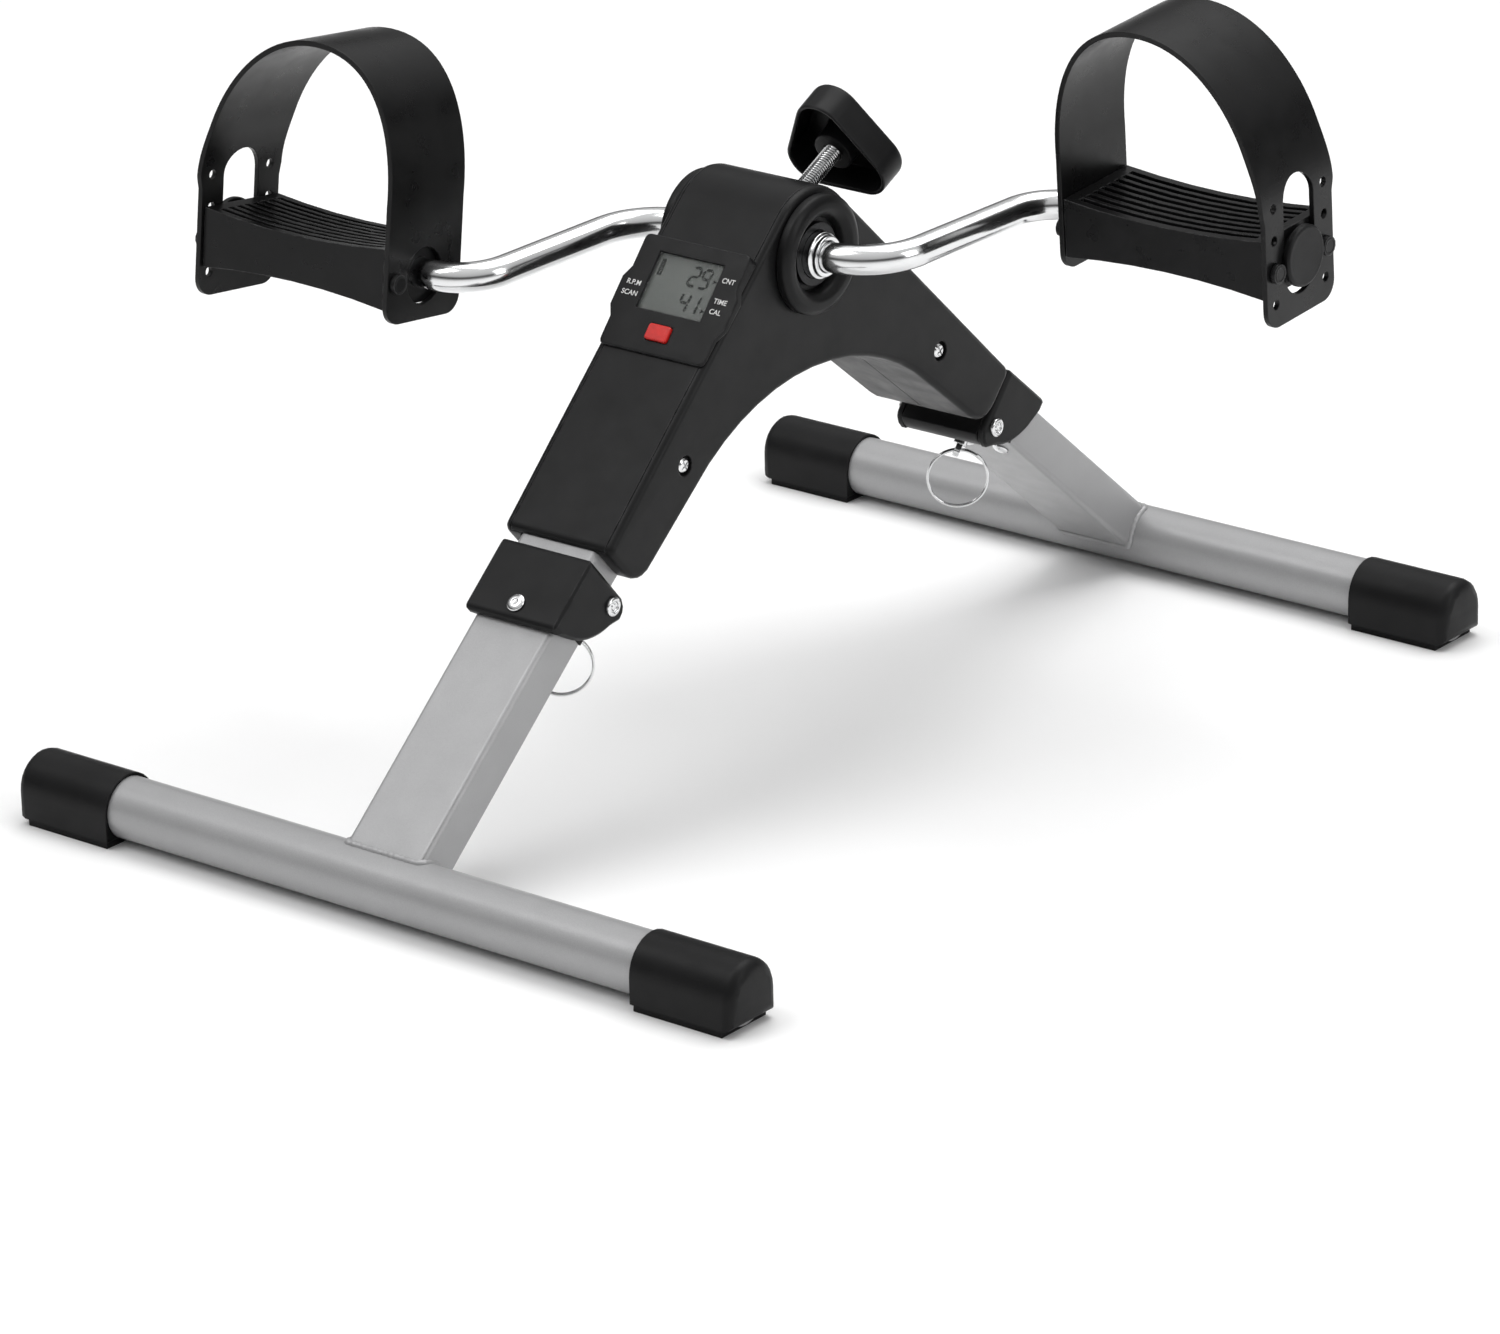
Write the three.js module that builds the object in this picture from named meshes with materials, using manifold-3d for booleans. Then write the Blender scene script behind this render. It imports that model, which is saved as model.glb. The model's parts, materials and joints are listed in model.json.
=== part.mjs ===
// Folding under-desk pedal exerciser, in millimetres, +Z up.
// X runs along the crank axis, Y from the front leg (-) to the rear leg (+).
// The origin is on the floor, midway between the two foot bars.
import * as THREE from 'three';
import { mergeVertices } from 'three/addons/utils/BufferGeometryUtils.js';
import Module from 'manifold-3d';

const wasm = await Module();
wasm.setup();

// ---- driving dimensions ----------------------------------------------------
const GAP = 0.3;                        // clearance between neighbouring pieces
const RUN = 0.1;                        // clearance of a shaft turning in its hole
const FOOT_SPREAD = 248;                // foot bar centre from the middle of the part
const FOOT_BAR_LENGTH = 374;            // over both end caps
const FOOT_TUBE_R = 13.2;
const FOOT_TUBE_WALL = 1.4;
const FOOT_AXIS_Z = 14.2;
const CAP_LENGTH = 50;
const CAP_HALF_WIDTH = 14.7;

const LEG_ANGLE = THREE.MathUtils.degToRad(40.4);   // leg above the floor
const LEG_HALF_WIDTH = 20;
const LEG_HALF_DEPTH = 10;
const LEG_WALL = 1.5;
const KNEE_FROM_FOOT = 111.7;           // foot axis to the knee origin, along the leg

const STUB_END_U = -40;                 // along the leg, from the knee origin
const LEG_TOP_U = -13.2;
const COLLAR_U = [-40.7, -6.5];
const COLLAR_HALF_WIDTH = 23.8;
const COLLAR_TOP_N = 14.2;
const PIVOT_U = -34;
const PIVOT_N = -10.5;
const KNUCKLE_R = 20.4;                 // round nose about the pivot
const BARREL_R = 9;
const PIVOT_PIN_R = 3;
const LOCK_PIN_U = PIVOT_U + 14;
const LOCK_PIN_R = 3;
const LOCK_EYE_N = -20;
const PULL_RING_R = 13;
const PULL_RING_WIRE_R = 1;
const PULL_RING_TURN = THREE.MathUtils.degToRad(38);

const CRANK_Z = 215.5;
const CRANK_THROW = 98;
const CRANK_TILT = THREE.MathUtils.degToRad(3.3);
const CRANK_ROD_R = 6.35;
const CRANK_INNER_BEND_X = 61;
const CRANK_OUTER_BEND_X = 74;
const CRANK_INNER_BEND_R = 28;
const CRANK_OUTER_BEND_R = 22;

const HUB_R = 17;
const HUB_BORE_R = 13.9;
const HUB_HALF_LENGTH = 20;

const DOME_R = 28;                      // housing crown, about the crank axis
const HOUSING_TOP_ANGLE = THREE.MathUtils.degToRad(43.4);
const HOUSING_END_TOP = [136, 125.7];
const HOUSING_END_LOW = [117.4, 104.9];
const ARCH_APEX_Z = 165.5;
const ARCH_R = 122;
const ARCH_HALF_SPAN = 70;
const HOUSING_WALL = 2.3;
const SIDE_COVER_X = 28;                // outer face of each side cover
const SEAM_X = 24.75;                   // seam between centre cover and side covers
const COVER_SCREW = [86.2, 148.5];
const BOSS_R = 25.4;
const BOSS_FACE_X = 34;

const TENSION_ANGLE = THREE.MathUtils.degToRad(26.5);    // screw above the horizontal
const TENSION_TRAVEL = 2.5;
const SCREW_R = 4;
const SCREW_TIP_R = 16.4;
const KNOB_RIM_R = 54.5;                // open rim of the knob from the crank axis
const KNOB_DEPTH = 15.4;
const KNOB_WALL = 2;

const PEDAL_INNER_X = 98;               // outer face of the strap's inner end
const PEDAL_LENGTH = 104;               // over both strap ends
const PEDAL_HALF_DEPTH = 22.5;
const PEDAL_END_TOP_Z = 12.5;
const PEDAL_END_LOW_Z = -13;
const PEDAL_SAG = 3;
const STRAP_HALF_WIDTH = { inner: 23, outer: 25.2 };   // the band widens outwards
const STRAP_END_HALF_WIDTH = 24;
const STRAP_END_LOW_Z = { inner: -19.5, outer: -26 };
const PEDAL_PITCH = { left: -0.125, right: 0.065 };     // how each pedal hangs at rest
const STRAP_THICKNESS = 2.3;
const STUD_OFFSET_Y = 17.8;
const STUD_Z = -2;
const STRAP_HOLE_PITCH = 13.8;
const SLOT_HALF_WIDTH = 10.8;

const COUNTER_HALF_WIDTH = 27.2;
const COUNTER_HALF_HEIGHT = 25.5;
const COUNTER_ANGLE = THREE.MathUtils.degToRad(48.5);
const COUNTER_CENTRE = [-56.4, 206];    // middle of the counter's face, Y and Z
const WINDOW = { halfWidth: 16.5, halfHeight: 12.6, v: 6 };
const BUTTON = { halfWidth: 5.65, halfHeight: 3.5, v: -15.9, proud: 1.3 };

// ---- materials -------------------------------------------------------------
const finish = (color, roughness, metalness = 0) =>
  new THREE.MeshStandardMaterial({ color, roughness, metalness });
const blackPlastic = finish(0x1c1c1d, 0.42);
const blackRubber = finish(0x161617, 0.6);
const silverPaint = finish(0xb0b1b3, 0.38, 0.35);
const chrome = finish(0xd9dbdd, 0.08, 1);
const steel = finish(0x8d9094, 0.35, 1);
const nylon = finish(0xe6e2d6, 0.5);
const redPlastic = finish(0xd2322d, 0.35);
const lcdGrey = finish(0x6c716c, 0.3);
const clearPlastic = finish(0x9aa3a0, 0.05);
const boardGreen = finish(0x1f5a36, 0.5);
const felt = finish(0x5a554c, 0.95);

const part = new THREE.Group();

function piece(parent, name, geometry, material) {
  const mesh = new THREE.Mesh(geometry, material);
  mesh.name = name;
  parent.add(mesh);
  return mesh;
}

// ---- solids and booleans ---------------------------------------------------
function solid(geometry) {
  const bare = geometry.clone();
  bare.deleteAttribute('normal');
  bare.deleteAttribute('uv');
  const merged = mergeVertices(bare, 1e-4);
  return new wasm.Manifold(new wasm.Mesh({
    numProp: 3,
    vertProperties: new Float32Array(merged.attributes.position.array),
    triVerts: new Uint32Array(merged.index.array),
  }));
}

function geometryOf(manifold) {
  const mesh = manifold.getMesh();
  const geometry = new THREE.BufferGeometry();
  geometry.setAttribute('position', new THREE.BufferAttribute(mesh.vertProperties, 3));
  geometry.setIndex(new THREE.BufferAttribute(mesh.triVerts, 1));
  geometry.computeVertexNormals();
  return geometry;
}

const join = (first, ...others) => others.reduce((sum, g) => sum.add(solid(g)), solid(first));
const cut = (body, ...tools) => tools.reduce((left, g) => left.subtract(solid(g)), body);

function box(x, y, z) {                 // each argument is a [low, high] pair
  const g = new THREE.BoxGeometry(x[1] - x[0], y[1] - y[0], z[1] - z[0]);
  return g.translate((x[0] + x[1]) / 2, (y[0] + y[1]) / 2, (z[0] + z[1]) / 2);
}

function shapeOf(points) {
  return new THREE.Shape(points.map(([a, b]) => new THREE.Vector2(a, b)));
}

const extruded = (shape, depth, options = {}) =>
  new THREE.ExtrudeGeometry(shape, { depth, bevelEnabled: false, curveSegments: 5, ...options });

// A Y-Z outline drawn along X: the shape's x becomes Y and its y becomes Z.
const alongX = new THREE.Matrix4().makeBasis(
  new THREE.Vector3(0, 1, 0), new THREE.Vector3(0, 0, 1), new THREE.Vector3(1, 0, 0));
const extrudeX = (shape, x0, x1, options) =>
  extruded(shape, x1 - x0, options).applyMatrix4(alongX).translate(x0, 0, 0);

// An X-Z outline drawn along Y, from y0 towards +Y.
const alongY = new THREE.Matrix4().makeBasis(
  new THREE.Vector3(1, 0, 0), new THREE.Vector3(0, 0, 1), new THREE.Vector3(0, -1, 0));
const extrudeY = (shape, y0, y1, options) =>
  extruded(shape, y1 - y0, options).applyMatrix4(alongY).translate(0, y1, 0);

// Turned pieces: profile points are [distance along the axis, radius].
function turned(profile, segments = 32) {
  const points = profile.map(([along, radius]) => new THREE.Vector2(radius, along));
  return new THREE.LatheGeometry(points, segments);     // about +Y
}
const turnedX = (profile, segments) => turned(profile, segments).rotateZ(-Math.PI / 2);
const turnedZ = (profile, segments) => turned(profile, segments).rotateX(Math.PI / 2);
const rodX = (radius, x0, x1, y = 0, z = 0, segments = 24) =>
  turnedX([[x0, 0], [x0, radius], [x1, radius], [x1, 0]], segments).translate(0, y, z);
const rodZ = (radius, z0, z1, x = 0, y = 0, segments = 24) =>
  turnedZ([[z0, 0], [z0, radius], [z1, radius], [z1, 0]], segments).translate(x, y, 0);

function roundedRect(halfWidth, halfHeight, radius) {
  const shape = new THREE.Shape();
  const [w, h, r] = [halfWidth, halfHeight, radius];
  shape.moveTo(-w + r, -h);
  shape.lineTo(w - r, -h);
  shape.absarc(w - r, -h + r, r, -Math.PI / 2, 0);
  shape.lineTo(w, h - r);
  shape.absarc(w - r, h - r, r, 0, Math.PI / 2);
  shape.lineTo(-w + r, h);
  shape.absarc(-w + r, h - r, r, Math.PI / 2, Math.PI);
  shape.lineTo(-w, -h + r);
  shape.absarc(-w + r, -h + r, r, Math.PI, 1.5 * Math.PI);
  return shape;
}

// Moves every corner of a closed counter-clockwise outline inward.
function inset(points, distance) {
  const count = points.length;
  return points.map((p, i) => {
    const before = points[(i + count - 1) % count];
    const after = points[(i + 1) % count];
    const a = new THREE.Vector2(p.x - before.x, p.y - before.y).normalize();
    const b = new THREE.Vector2(after.x - p.x, after.y - p.y).normalize();
    const mitre = new THREE.Vector2(-a.y - b.y, a.x + b.x).normalize();
    const stretch = distance / (mitre.x * -a.y + mitre.y * a.x);
    return new THREE.Vector2(p.x + mitre.x * stretch, p.y + mitre.y * stretch);
  });
}

// ---- leg frame: X across, u down the leg, n out of its upper face ----------
// Pieces in a leg frame are drawn with geometry x = X, y = u and z = n.
const KNEE = [
  FOOT_SPREAD - KNEE_FROM_FOOT * Math.cos(LEG_ANGLE),
  FOOT_AXIS_Z + KNEE_FROM_FOOT * Math.sin(LEG_ANGLE),
];
const legMatrix = new THREE.Matrix4().makeRotationX(-LEG_ANGLE).setPosition(0, KNEE[0], KNEE[1]);
const turnAround = new THREE.Matrix4().makeRotationZ(Math.PI);
const inLeg = (geometry) => geometry.applyMatrix4(legMatrix);
const inFrontLeg = (geometry) => inLeg(geometry).applyMatrix4(turnAround);

const squareTube = (u0, u1, grow = 0, radius = 2.5) => extruded(
  roundedRect(LEG_HALF_WIDTH + grow, LEG_HALF_DEPTH + grow, radius + grow), u1 - u0,
  { curveSegments: 3 }).rotateX(-Math.PI / 2).translate(0, u0, 0);

// ---- main frame: crank hub with a stub tube towards each leg ---------------
const APEX_U = -FOOT_SPREAD / Math.cos(LEG_ANGLE) + KNEE_FROM_FOOT;   // stub axis at Y = 0
const MITRE_SPARE = 40;
const tension = new THREE.Matrix4()
  .makeRotationX(-(Math.PI / 2 - TENSION_ANGLE)).setPosition(0, 0, CRANK_Z);
const inTension = (geometry) => geometry.applyMatrix4(tension);   // z runs out along the screw

function stub(place) {
  const outer = solid(place(squareTube(APEX_U - MITRE_SPARE, STUB_END_U)));
  return outer.subtract(solid(place(
    squareTube(APEX_U - MITRE_SPARE - 1, STUB_END_U + 1, -LEG_WALL, 2))));
}

const REAR_HALF = box([-60, 60], [0, 300], [0, 400]);
const FRONT_HALF = box([-60, 60], [-300, 0], [0, 400]);
const rearStub = stub(inLeg).intersect(solid(REAR_HALF));
const frontStub = stub(inFrontLeg).intersect(solid(FRONT_HALF));
const screwSpot = (side, end) => [side, end * COVER_SCREW[0], COVER_SCREW[1]];
const coverScrews = [
  ['right_front', ...screwSpot(1, -1)], ['right_rear', ...screwSpot(1, 1)],
  ['left_front', ...screwSpot(-1, -1)], ['left_rear', ...screwSpot(-1, 1)],
];
const SCREW_SHANK_R = 1.6;
const screwHoles = coverScrews.map(([, side, y, z]) =>
  rodX(SCREW_SHANK_R + GAP, side > 0 ? 15 : -30, side > 0 ? 30 : -15, y, z, 12));
const SHOE = { halfX: 9, halfY: 6, low: 5, high: 16 };
const GUSSET = { halfY: 15, n: 9 };     // solid corner over the hub, inside the two stubs
const gussetTop = KNEE[1] + KNEE[0] * Math.tan(LEG_ANGLE) + GUSSET.n / Math.cos(LEG_ANGLE);
const gussetSide = gussetTop - GUSSET.halfY * Math.tan(LEG_ANGLE);
const gusset = extrudeX(shapeOf([
  [-GUSSET.halfY, CRANK_Z], [GUSSET.halfY, CRANK_Z], [GUSSET.halfY, gussetSide],
  [0, gussetTop], [-GUSSET.halfY, gussetSide]]), -HUB_HALF_LENGTH, HUB_HALF_LENGTH);
let mainFrame = rearStub.add(frontStub).add(solid(gusset)).add(
  solid(rodX(HUB_R, -HUB_HALF_LENGTH, HUB_HALF_LENGTH, 0, CRANK_Z, 40)));
mainFrame = cut(mainFrame,
  rodX(HUB_BORE_R, -60, 60, 0, CRANK_Z, 40),
  inTension(box([-SHOE.halfX - 0.6, SHOE.halfX + 0.6],
    [-SHOE.halfY - 0.6, SHOE.halfY + 0.6], [0, SHOE.high + 0.5])),
  inTension(rodZ(SCREW_R + 0.6, 0, 60)),
  inTension(rodZ(8.2, 18.2, 60)),
  ...screwHoles);
piece(part, 'main_frame', geometryOf(mainFrame), silverPaint);

// ---- hinge knuckles on the stub ends ---------------------------------------
function knuckleGeometry() {
  const nose = new THREE.Shape();
  const back = STUB_END_U + GAP - PIVOT_U;
  const low = -LEG_HALF_DEPTH - PIVOT_N;
  const top = LEG_HALF_DEPTH - PIVOT_N - 0.1;
  nose.moveTo(back, low);
  nose.lineTo(Math.sqrt(KNUCKLE_R ** 2 - low ** 2), low);
  nose.absarc(0, 0, KNUCKLE_R, Math.asin(low / KNUCKLE_R), Math.asin(top / KNUCKLE_R));
  nose.lineTo(back, top);
  const half = LEG_HALF_WIDTH - 0.1;
  const place = (g) => g.translate(0, PIVOT_U, PIVOT_N);
  const clearOfStub = box([-60, 60], [STUB_END_U + GAP, 60], [-60, 60]);
  const plug = squareTube(STUB_END_U - 14, STUB_END_U + 1, -LEG_WALL - GAP, 2);
  const body = join(place(extrudeX(nose, -half, half, { curveSegments: 10 })),
    place(rodX(BARREL_R, -half, half)))
    .intersect(solid(clearOfStub)).add(solid(plug));
  return geometryOf(cut(body,
    place(rodX(PIVOT_PIN_R + RUN, -60, 60)),
    rodZ(LOCK_PIN_R + RUN, -30, -2, 0, LOCK_PIN_U)));
}
piece(part, 'front_hinge_knuckle', inFrontLeg(knuckleGeometry()), blackPlastic);
piece(part, 'rear_hinge_knuckle', inLeg(knuckleGeometry()), blackPlastic);

// ---- housing ---------------------------------------------------------------
function housingOutline() {
  const shape = new THREE.Shape();
  const [topY, topZ] = HOUSING_END_TOP;
  const [lowY, lowZ] = HOUSING_END_LOW;
  const crown = Math.PI / 2 - HOUSING_TOP_ANGLE;
  const archAngle = Math.asin(ARCH_HALF_SPAN / ARCH_R);
  const archZ = ARCH_APEX_Z - ARCH_R;
  const soft = 12;                      // lower corner rounding
  const crisp = 4;                      // upper corner rounding
  const down = new THREE.Vector2(lowY - topY, lowZ - topZ).normalize();
  const up = new THREE.Vector2(Math.cos(HOUSING_TOP_ANGLE), -Math.sin(HOUSING_TOP_ANGLE));
  const springing = new THREE.Vector2(ARCH_HALF_SPAN, archZ + ARCH_R * Math.cos(archAngle));
  const under = new THREE.Vector2(springing.x - lowY, springing.y - lowZ).normalize();
  shape.absarc(0, archZ, ARCH_R, Math.PI / 2 + archAngle, Math.PI / 2 - archAngle, true);
  shape.lineTo(lowY + under.x * soft, lowZ + under.y * soft);
  shape.quadraticCurveTo(lowY, lowZ, lowY - down.x * soft, lowZ - down.y * soft);
  shape.lineTo(topY + down.x * crisp, topZ + down.y * crisp);
  shape.quadraticCurveTo(topY, topZ, topY - up.x * crisp, topZ - up.y * crisp);
  shape.absarc(0, CRANK_Z, DOME_R, crown, Math.PI - crown);
  shape.lineTo(-topY + up.x * crisp, topZ - up.y * crisp);
  shape.quadraticCurveTo(-topY, topZ, -topY - down.x * crisp, topZ + down.y * crisp);
  shape.lineTo(-lowY + down.x * soft, lowZ - down.y * soft);
  shape.quadraticCurveTo(-lowY, lowZ, -lowY - under.x * soft, lowZ + under.y * soft);
  return shape.getPoints(6).slice(0, -1);
}

const outline = housingOutline();
const ccw = THREE.ShapeUtils.area(outline) > 0 ? outline : outline.reverse();
const outerShape = new THREE.Shape(ccw);
const innerShape = new THREE.Shape(inset(ccw, HOUSING_WALL));

// Everything above the two stub tubes, where the centre cover lies.
function aboveStubs(clearance, x) {
  const n = LEG_HALF_DEPTH + clearance;
  const slope = Math.tan(LEG_ANGLE);
  const apexZ = KNEE[1] + KNEE[0] * slope + n / Math.cos(LEG_ANGLE);
  const reach = 160;
  return extrudeX(shapeOf([
    [-reach, apexZ - reach * slope], [0, apexZ], [reach, apexZ - reach * slope],
    [reach, 300], [-reach, 300]]), -x, x);
}

// Counter frame: X across, v up the face, w out of the face.
const counterMatrix = new THREE.Matrix4()
  .makeRotationX(COUNTER_ANGLE).setPosition(0, COUNTER_CENTRE[0], COUNTER_CENTRE[1]);
const inCounter = (geometry) => geometry.applyMatrix4(counterMatrix);
const NECK = { halfWidth: 21.5, low: -21.5, high: 22, back: -7.4 };

const coverSolid = solid(extrudeX(outerShape, -SEAM_X + 0.15, SEAM_X - 0.15))
  .subtract(solid(extrudeX(innerShape, -60, 60)))
  .intersect(solid(aboveStubs(0.5, 60)));
piece(part, 'centre_cover', geometryOf(cut(coverSolid,
  inCounter(box([-NECK.halfWidth - 0.4, NECK.halfWidth + 0.4],
    [NECK.low - 0.4, NECK.high + 0.4], [-30, 30])),
  inTension(rodZ(SCREW_R + 2.5, 20, 60)))), blackPlastic);

function sideCover(side) {
  const bevel = 2.6;
  const shell = extrudeX(outerShape, -40, SIDE_COVER_X - bevel, {
    bevelEnabled: true, bevelThickness: bevel, bevelSize: bevel, bevelOffset: -bevel,
    bevelSegments: 3 });
  let body = solid(shell).intersect(solid(box([0.15, 60], [-200, 200], [0, 300])));
  const plateInside = SIDE_COVER_X - HOUSING_WALL;
  body = cut(body, extrudeX(innerShape, -1, plateInside), aboveStubs(0.2, SEAM_X + 0.15));
  const posts = coverScrews.filter(([, s]) => s > 0)
    .map(([, , y, z]) => rodX(4.6, LEG_HALF_WIDTH + 0.4, plateInside + 0.5, y, z, 20));
  posts.forEach((post) => { body = body.add(solid(post)); });
  body = cut(body,
    inLeg(squareTube(APEX_U, STUB_END_U, 0.5)),
    inFrontLeg(squareTube(APEX_U, STUB_END_U, 0.5)),
    rodX(11, 20, 60, 0, CRANK_Z, 32),
    ...screwHoles,
    ...coverScrews.filter(([, s]) => s > 0)
      .map(([, , y, z]) => rodX(4.4, SIDE_COVER_X - 2.4, 60, y, z, 20)));
  if (side > 0) return geometryOf(body);
  return geometryOf(body.mirror([1, 0, 0]));
}
piece(part, 'right_side_cover', sideCover(1), blackPlastic);
piece(part, 'left_side_cover', sideCover(-1), blackPlastic);

// Pan-head screws with a cross recess, one in each sunk hole of the side covers.
function coverScrew(side, y, z) {
  const seat = SIDE_COVER_X - 2.4 + GAP / 2;
  const profile = [[17.5, 0], [17.5, SCREW_SHANK_R], [seat, SCREW_SHANK_R], [seat, 3.5],
    [seat + 1.2, 3.3], [seat + 1.9, 2.2], [seat + 2.1, 0]];
  const body = cut(solid(turnedX(profile, 12)),
    box([seat + 1, seat + 3], [-2.1, 2.1], [-0.4, 0.4]),
    box([seat + 1, seat + 3], [-0.4, 0.4], [-2.1, 2.1]));
  const handed = side > 0 ? body : body.mirror([1, 0, 0]);
  return geometryOf(handed).translate(0, y, z);
}
coverScrews.forEach(([name, side, y, z]) =>
  piece(part, `cover_screw_${name}`, coverScrew(side, y, z), chrome));

// Round bosses that frame the crank where it leaves the housing.
const bossProfile = [
  [SIDE_COVER_X + GAP, 15.2], [SIDE_COVER_X + GAP, BOSS_R], [31.6, BOSS_R],
  [33, BOSS_R - 0.6], [BOSS_FACE_X - 0.3, BOSS_R - 1.8], [BOSS_FACE_X, BOSS_R - 3.4],
  [BOSS_FACE_X - 0.8, 17], [BOSS_FACE_X - 1.6, 15.2], [SIDE_COVER_X + GAP, 15.2]];
const boss = () => turnedX(bossProfile, 36).translate(0, 0, CRANK_Z);
piece(part, 'right_crank_boss', boss(), blackPlastic);
piece(part, 'left_crank_boss', boss().applyMatrix4(turnAround), blackPlastic);

// ---- crank bearings --------------------------------------------------------
const bush = () => turnedX([
  [14, CRANK_ROD_R + RUN], [14, HUB_BORE_R - 0.25], [HUB_HALF_LENGTH + GAP, HUB_BORE_R - 0.25],
  [HUB_HALF_LENGTH + GAP, 16.4], [21.6, 16.4], [21.6, CRANK_ROD_R + RUN],
  [14, CRANK_ROD_R + RUN]], 24).translate(0, 0, CRANK_Z);
piece(part, 'right_crank_bush', bush(), nylon);
piece(part, 'left_crank_bush', bush().applyMatrix4(turnAround), nylon);

// ---- crank rod with its collars and magnet ---------------------------------
const crank = new THREE.Group();
crank.position.z = CRANK_Z;
crank.rotation.x = CRANK_TILT;
part.add(crank);

function bentCorner(path, corner, before, after, radius) {
  const a = before.clone().sub(corner).normalize();
  const b = after.clone().sub(corner).normalize();
  const reach = radius / Math.tan(a.angleTo(b) / 2);
  const start = corner.clone().addScaledVector(a, reach);
  const end = corner.clone().addScaledVector(b, reach);
  const middle = a.clone().add(b).normalize();
  const centre = corner.clone().addScaledVector(middle, radius / Math.sin(a.angleTo(b) / 2));
  class Bend extends THREE.Curve {
    getPoint(t, target = new THREE.Vector3()) {
      const from = start.clone().sub(centre);
      const axis = new THREE.Vector3().crossVectors(from, end.clone().sub(centre)).normalize();
      const sweep = from.angleTo(end.clone().sub(centre));
      return target.copy(from.applyAxisAngle(axis, sweep * t).add(centre));
    }
  }
  path.add(new THREE.LineCurve3(path.last.clone(), start));
  path.add(new Bend());
  path.last = end;
}

function crankRod() {
  const end = PEDAL_INNER_X + PEDAL_LENGTH - 4;
  const corners = [
    new THREE.Vector3(-end, -CRANK_THROW, 0),
    new THREE.Vector3(-CRANK_OUTER_BEND_X, -CRANK_THROW, 0),
    new THREE.Vector3(-CRANK_INNER_BEND_X, 0, 0),
    new THREE.Vector3(CRANK_INNER_BEND_X, 0, 0),
    new THREE.Vector3(CRANK_OUTER_BEND_X, CRANK_THROW, 0),
    new THREE.Vector3(end, CRANK_THROW, 0)];
  const radii = [0, CRANK_OUTER_BEND_R, CRANK_INNER_BEND_R, CRANK_INNER_BEND_R,
    CRANK_OUTER_BEND_R];
  const path = new THREE.CurvePath();
  path.last = corners[0];
  for (let i = 1; i < 5; i += 1) {
    bentCorner(path, corners[i], corners[i - 1], corners[i + 1], radii[i]);
  }
  path.add(new THREE.LineCurve3(path.last.clone(), corners[5]));
  const section = new THREE.Shape().absarc(0, 0, CRANK_ROD_R, 0, 2 * Math.PI);
  return extruded(section, 0, { extrudePath: path, steps: 64, curveSegments: 6 });
}
piece(crank, 'crank_rod', crankRod(), chrome);

const collarProfile = [
  [22, CRANK_ROD_R + GAP], [22, 10], [28.5, 10], [28.5, 13.4], [30.1, 13.4],
  [30.1, 10.4], [33.4, 10.4], [33.9, 8.6], [36, 8.6], [36, CRANK_ROD_R + GAP],
  [22, CRANK_ROD_R + GAP]];
piece(crank, 'right_crank_collar', turnedX(collarProfile, 20), chrome);
piece(crank, 'left_crank_collar', turnedX(collarProfile, 20).applyMatrix4(turnAround), chrome);
piece(crank, 'sensor_magnet', box([-13, -10.5], [-2, 2], [CRANK_ROD_R + GAP, 9.6]), steel);
piece(part, 'reed_sensor', box([-13.4, -10], [-3, 3], [-13.2, -10.4])
  .translate(0, 0, CRANK_Z), boardGreen);

// ---- tension screw, knob and brake shoe ------------------------------------
const hexagon = shapeOf([...Array(6).keys()].map((i) =>
  [7.5 * Math.cos(i * Math.PI / 3), 7.5 * Math.sin(i * Math.PI / 3)]));
piece(part, 'tension_nut', inTension(geometryOf(cut(
  solid(extruded(hexagon, 5).translate(0, 0, 18.5)), rodZ(SCREW_R + GAP, 0, 60)))), steel);
piece(part, 'brake_shoe', inTension(geometryOf(cut(
  solid(box([-SHOE.halfX, SHOE.halfX], [-SHOE.halfY, SHOE.halfY], [SHOE.low, SHOE.high])),
  rodX(CRANK_ROD_R + 0.45, -60, 60, 0, TENSION_TRAVEL + 0.4, 32)))), felt);

function knobOutline(shrink) {          // three lobes, one of them pointing up
  const lobe = 12.4 - shrink;
  const reach = 14.4;
  const shape = new THREE.Shape();
  for (let i = 0; i < 3; i += 1) {
    const angle = Math.PI / 6 + i * 2 * Math.PI / 3;
    shape.absarc(reach * Math.cos(angle), reach * Math.sin(angle), lobe,
      angle - Math.PI / 3, angle + Math.PI / 3);
  }
  return shape;
}
const knobTop = KNOB_RIM_R + KNOB_DEPTH;
const knobShell = solid(extruded(knobOutline(1), KNOB_DEPTH - 1.2, {
  bevelEnabled: true, bevelThickness: 1, bevelSize: 1, bevelSegments: 2,
}).translate(0, 0, KNOB_RIM_R + 0.2));
const knobBody = cut(knobShell,
  extruded(knobOutline(KNOB_WALL), KNOB_DEPTH).translate(0, 0, KNOB_RIM_R - 2.5))
  .add(solid(rodZ(8.4, knobTop - 10, knobTop - 2)));
piece(part, 'tension_knob', inTension(geometryOf(cut(knobBody,
  rodZ(SCREW_R + GAP, 40, knobTop - 3.5)))), blackPlastic);
piece(part, 'tension_screw', inTension(rodZ(SCREW_R, SCREW_TIP_R, knobTop - 4)), chrome);

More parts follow.
